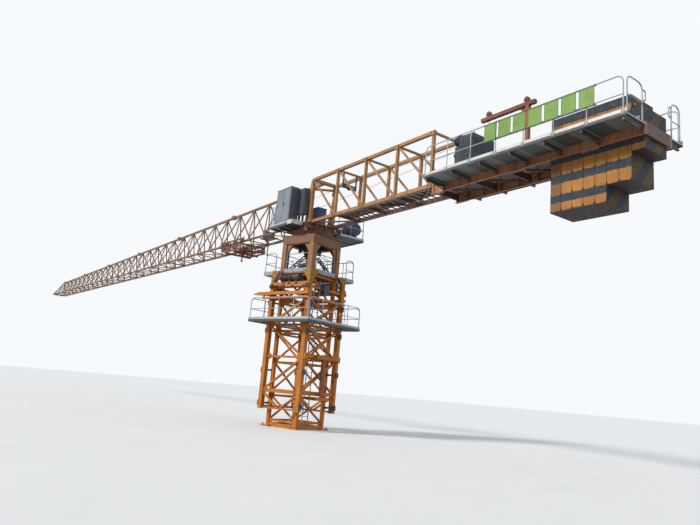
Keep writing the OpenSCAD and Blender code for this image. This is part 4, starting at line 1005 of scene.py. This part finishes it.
# motor on the access platform: fins, fan cover with its grille, flange, terminal box, shaft; boxes beside it
side, small = Solid(at(0, -1.11, ACCESS_Z + .26)), Solid(at(z=ACCESS_Z))
for c, s in circle(28):
    side.along(-.27, 0.0, .166 * c, .166 * s, .012)
for x0, x1 in ((-.335, -.275), (.01, .055)):
    side.along(x0, x1, 0, 0, .345, 32)
for r in (.05, .09, .13):
    side.ring((-.338, 0, 0), X, r, .01, 32, 6)
side.box((-.2, -.06, .155), (-.04, .06, .225))
side.along(.06, .13, 0, 0, .05, 20)
side.make("side_motor_fins", "drive", bevel=.001)
small.box((.22, -1.2, 0), (.38, -1.00, .38))
small.post(.3, -1.1, .38, .45, .12, 20)
small.box((.44, -1.26, 0), (.56, -1.06, .44))
small.make("access_boxes", "bright", bevel=.004)

# drive box in the head: dark lid and seams
lid = Solid()
lid.box((-.302, -.158, 5.536), (-.052, .128, 5.556))
for z in (5.18, 5.32, 5.46):
    lid.box((-.3, -.153, z), (-.054, .123, z + .008))
lid.make("drive_box_lid", "seam", bevel=.002)

# ---- jib

# node plates, section joints with pins and top lugs, rope guides, tip fittings
jib, pinned = Solid(ON_JIB), Solid(ON_JIB)
for i in range(JIB_BAYS + 1):
    x = (i + .5) * JIB_BAY
    jib.plate(taper(x, .075, .045, 0, 0, jib_depth(x) - .012, jib_depth(x) - .085), Y, .01)
    for s in SIGNS:
        jib.plate(taper(i * JIB_BAY, .085, .05, s * .34, s * .318, .022, .092), (0, 1.06, s * .34), .008)
for x in JIB_JOINTS:
    for s in SIGNS:
        y = s * CHORD_Y
        for dy in (-.034, .026):
            jib.rib(x, .075, y + dy, y + dy + .008, -.036, .036)
        for dx in pm(.042):
            pinned.across(x + dx, y - .044, y + .044, .004, .024, 12)
    d = jib_depth(x)
    lug = ((-.13, -.045), (.13, -.045), (.13, .035), (.07, .075), (-.07, .075), (-.13, .035))
    for y in (-.041, .041):
        jib.plate([(x + dx, y, d + dz) for dx, dz in lug], Y, .014)
    for x0, x1 in ((-.115, -.03), (.03, .115)):
        jib.box((x + x0, -.036, d + .018), (x + x1, .036, d + .058))
    for dx in pm(.075):
        pinned.across(x + dx, -.062, .062, d + .022, .036, 16)
for x, y in product(JIB_GUIDES, (-.19, .06)):
    for y0, y1 in ((-.03, -.022), (.022, .03)):
        jib.rib(x, .012, y + y0, y + y1, .012, .075)
    pinned.across(x, y - .034, y + .034, .034, .016, 12)
for y0, y1 in ((.052, .058), (.078, .084)):
    jib.box((TIP_X + .2, y0, -.02), (TIP_X + .395, y1, .13))
jib.make("jib_plates", "jib")
pinned.across(TIP_X + .29, .056, .08, .075, .1, 28)
pinned.box((TIP_X + .37, -.212, .015), (TIP_X + .435, -.168, .06))
pinned.make("jib_pins", "bolt")

# trolley winch: rope on the drum, the drum's flanges and the motor's cover
DRUM_X, DRUM_Z = 2.2, .163
AT_DRUM = ON_JIB @ at(DRUM_X, 0, DRUM_Z)
wound, flange = Solid(AT_DRUM), Solid(AT_DRUM)
for k in range(13):
    wound.ring((0, -.105 + .0175 * k, 0), Y, .066, .014, 28, 6)
wound.make("trolley_winch_rope", "rope")
for s in SIGNS:
    flange.across(0, s * .127, s * .137, 0, .19, 28)
flange.along(.1, .24, 0, .037, .11, 24)
flange.make("trolley_winch_flanges", "blue")

# ---- trolley and hook

# guard frame at the trolley's tip side, side plates, uprights, grating; hubs and bolts
AT_TROLLEY = ON_JIB @ at(TROLLEY_X)
basket, hubs = Solid(AT_TROLLEY), Solid(AT_TROLLEY)
for k in range(14):
    x = -.88 + .016 * k
    basket.box((x, -.34, -.229), (x + .006, -.1, -.214))
for s in SIGNS:
    for z in (-.205, -.1, .066):
        basket.along(.2, .6, s * .438, z, .02)
    for x in (.42, .51, .59):
        basket.post(x, s * .438, -.225, .088, .026)
    for x0, x1 in ((-.6, -.22), (-.18, .2)):
        basket.box((x0, s * .421, -.17), (x1, s * .427, -.07))
        basket.bar((x0, s * .424, -.07), (x1, s * .424, .045), .02)
    for x in (-.42, -.2, .04):
        basket.post(x, s * .436, -.22, .05, .022)
for z in (-.205, -.1):
    basket.across(.59, -.44, .44, z, .016)
basket.bar((.42, -.43, -.205), (.59, .43, -.205), .014)
basket.make("trolley_basket", "trolley", "trolley")
for s in SIGNS:
    for x in (-.735, .335):
        hubs.across(x, s * .44, s * .462, .012, .055, 20)
        hubs.bolt((x, s * .462, .012), (0, s, 0), .02, .012)
    for x, z, dx in product((-.625, .225), (-.24, -.22, .05, .075), pm(.014)):
        hubs.bolt((x + dx, s * (.431 if z > 0 else .4285), z), (0, s, 0), .01, .006)
hubs.make("trolley_hubs", "bolt", "trolley")

# cheek bolts of the hook block
block = Solid(at(HOOK_X, 0, HOOK_Z))
CHEEK = ((-.105, -.02), (.105, -.02), (-.06, -.08), (.06, -.08), (0.0, .03), (0.0, -.04))
for s, (x, z) in product(SIGNS, CHEEK):
    block.bolt((x, s * .046, z), (0, s, 0), .014, .008)
block.make("hook_block_bolts", "bolt", "hook_block")

# the hoist rope's four falls, from the hook block up to the trolley; they take the place of the hoist_ropes node,
# which is hidden
FALL_TOP, FALL_W = 5.0566, .00966
falls = Solid()
for x in (-.185, -.045, .045, .185):
    falls.post(HOOK_X + x, 0, HOOK_Z, FALL_TOP, FALL_W, 12)
falls = falls.make("hook_falls", "rope", None)
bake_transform(falls)
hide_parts("hoist_ropes")


# ---- ropes

def rounded(points, radius, steps=8):
    """The way through some points, with each corner turned into a short curve."""
    way = [points[0]]
    for a, p, b in zip(points, points[1:], points[2:]):
        u = p + (a - p).normalized() * radius
        v = p + (b - p).normalized() * radius
        for k in range(steps + 1):
            t = k / steps
            way.append(u * (1 - t) ** 2 + p * 2 * t * (1 - t) + v * t ** 2)
    return way + [points[-1]]


def rope(name, way, d=.008):
    curve = bpy.data.curves.new(name, "CURVE")
    curve.dimensions = "3D"
    curve.bevel_depth, curve.bevel_resolution = d / 2, 2
    spline = curve.splines.new("POLY")
    spline.points.add(len(way) - 1)
    for point, p in zip(spline.points, way):
        point.co = (*p, 1)
    piece = link_new(name, curve)
    curve.materials.append(M["rope"])
    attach(piece, "slewing_part")


way = [Vector(p) for p in ((-5.402, .1, 5.86), (-1.43, .1, 5.8825), (.3, .02, 5.885), (1.9, -.19, 5.148))]
way += [ON_JIB @ Vector((x, -.19, .0465)) for x in JIB_GUIDES]
way.append(ON_JIB @ Vector((TIP_X + .4, -.19, .0345)))
rope("hoist_rope", rounded(way, .05))
rope("second_rope", [Vector((-5.402, 0, 5.84)), Vector((-.22, .06, 5.545))])


# ---- camera, light and floor

def heading(azimuth, elevation):
    a, e = radians(azimuth), radians(elevation)
    return Vector((cos(a) * cos(e), sin(a) * cos(e), sin(e)))


def aim(location, yaw, pitch, roll):
    """The matrix of a camera at location; angles in degrees."""
    ahead, roll = heading(yaw, pitch), radians(roll)
    right = ahead.cross(Vector(Z)).normalized()
    up = right.cross(ahead)
    rolled_right = right * cos(roll) + up * sin(roll)
    rolled_up = up * cos(roll) - right * sin(roll)
    matrix = Matrix((rolled_right, rolled_up, -ahead)).transposed().to_4x4()
    matrix.translation = location
    return matrix


FOCAL_PIXELS, PHOTO_WIDTH, SENSOR = 623.396, 700, 36
camera = link_new("camera", bpy.data.cameras.new("camera"))
camera.data.sensor_width = SENSOR
camera.data.lens = FOCAL_PIXELS * SENSOR / PHOTO_WIDTH
camera.data.clip_end = 500
camera.matrix_world = aim((-13.4005, 8.375, 1.0), yaw=-35.681, pitch=11.579, roll=4.906)
bpy.context.scene.camera = camera


def sun(name, strength, angle, azimuth, elevation, colour):
    data = bpy.data.lights.new(name, "SUN")
    data.energy, data.angle, data.color = strength, radians(angle), colour
    link_new(name, data).rotation_euler = heading(azimuth, elevation).to_track_quat("Z", "Y").to_euler()


sun("key", 2.6, 12, 78, 34, (1.0, .95, .88))
sun("fill", .35, 40, 200, 20, (.88, .93, 1.0))

# the sky lights the crane softly and shows paler to the camera
world = bpy.data.worlds.new("studio")
bpy.context.scene.world = world
world.use_nodes = True
sky = Nodes(tree=world.node_tree)
back, pale = world.node_tree.nodes["Background"], sky.new("Background")
for node, colour, strength in ((back, (.8, .86, .93, 1), .55), (pale, (.93, .95, .98, 1), 1.0)):
    sky.feed(node.inputs["Color"], colour)
    sky.feed(node.inputs["Strength"], strength)
choose = sky.new("MixShader")
for socket, value in zip(choose.inputs, (sky.seen(), back.outputs[0], pale.outputs[0])):
    sky.feed(socket, value)
sky.feed(world.node_tree.nodes["World Output"].inputs["Surface"], choose.outputs[0])

FLOOR_HALF = 150
mesh = bpy.data.meshes.new("floor")
edge = ((-1, -1), (1, -1), (1, 1), (-1, 1))
mesh.from_pydata([(FLOOR_HALF * x, FLOOR_HALF * y, 0) for x, y in edge], [], [(0, 1, 2, 3)])
floor = link_new("floor", mesh)
n = Nodes("floor_pale")
tone = n.mix(n.ramp(n.noise(.8, 4), .3, .7), (.8, .81, .82, 1), (.84, .85, .86, 1))
mesh.materials.append(n.done(n.mix(n.seen(), (.3, .27, .24, 1), tone), .9))
bpy.context.scene.view_settings.view_transform = "Standard"

bpy.context.view_layer.update()
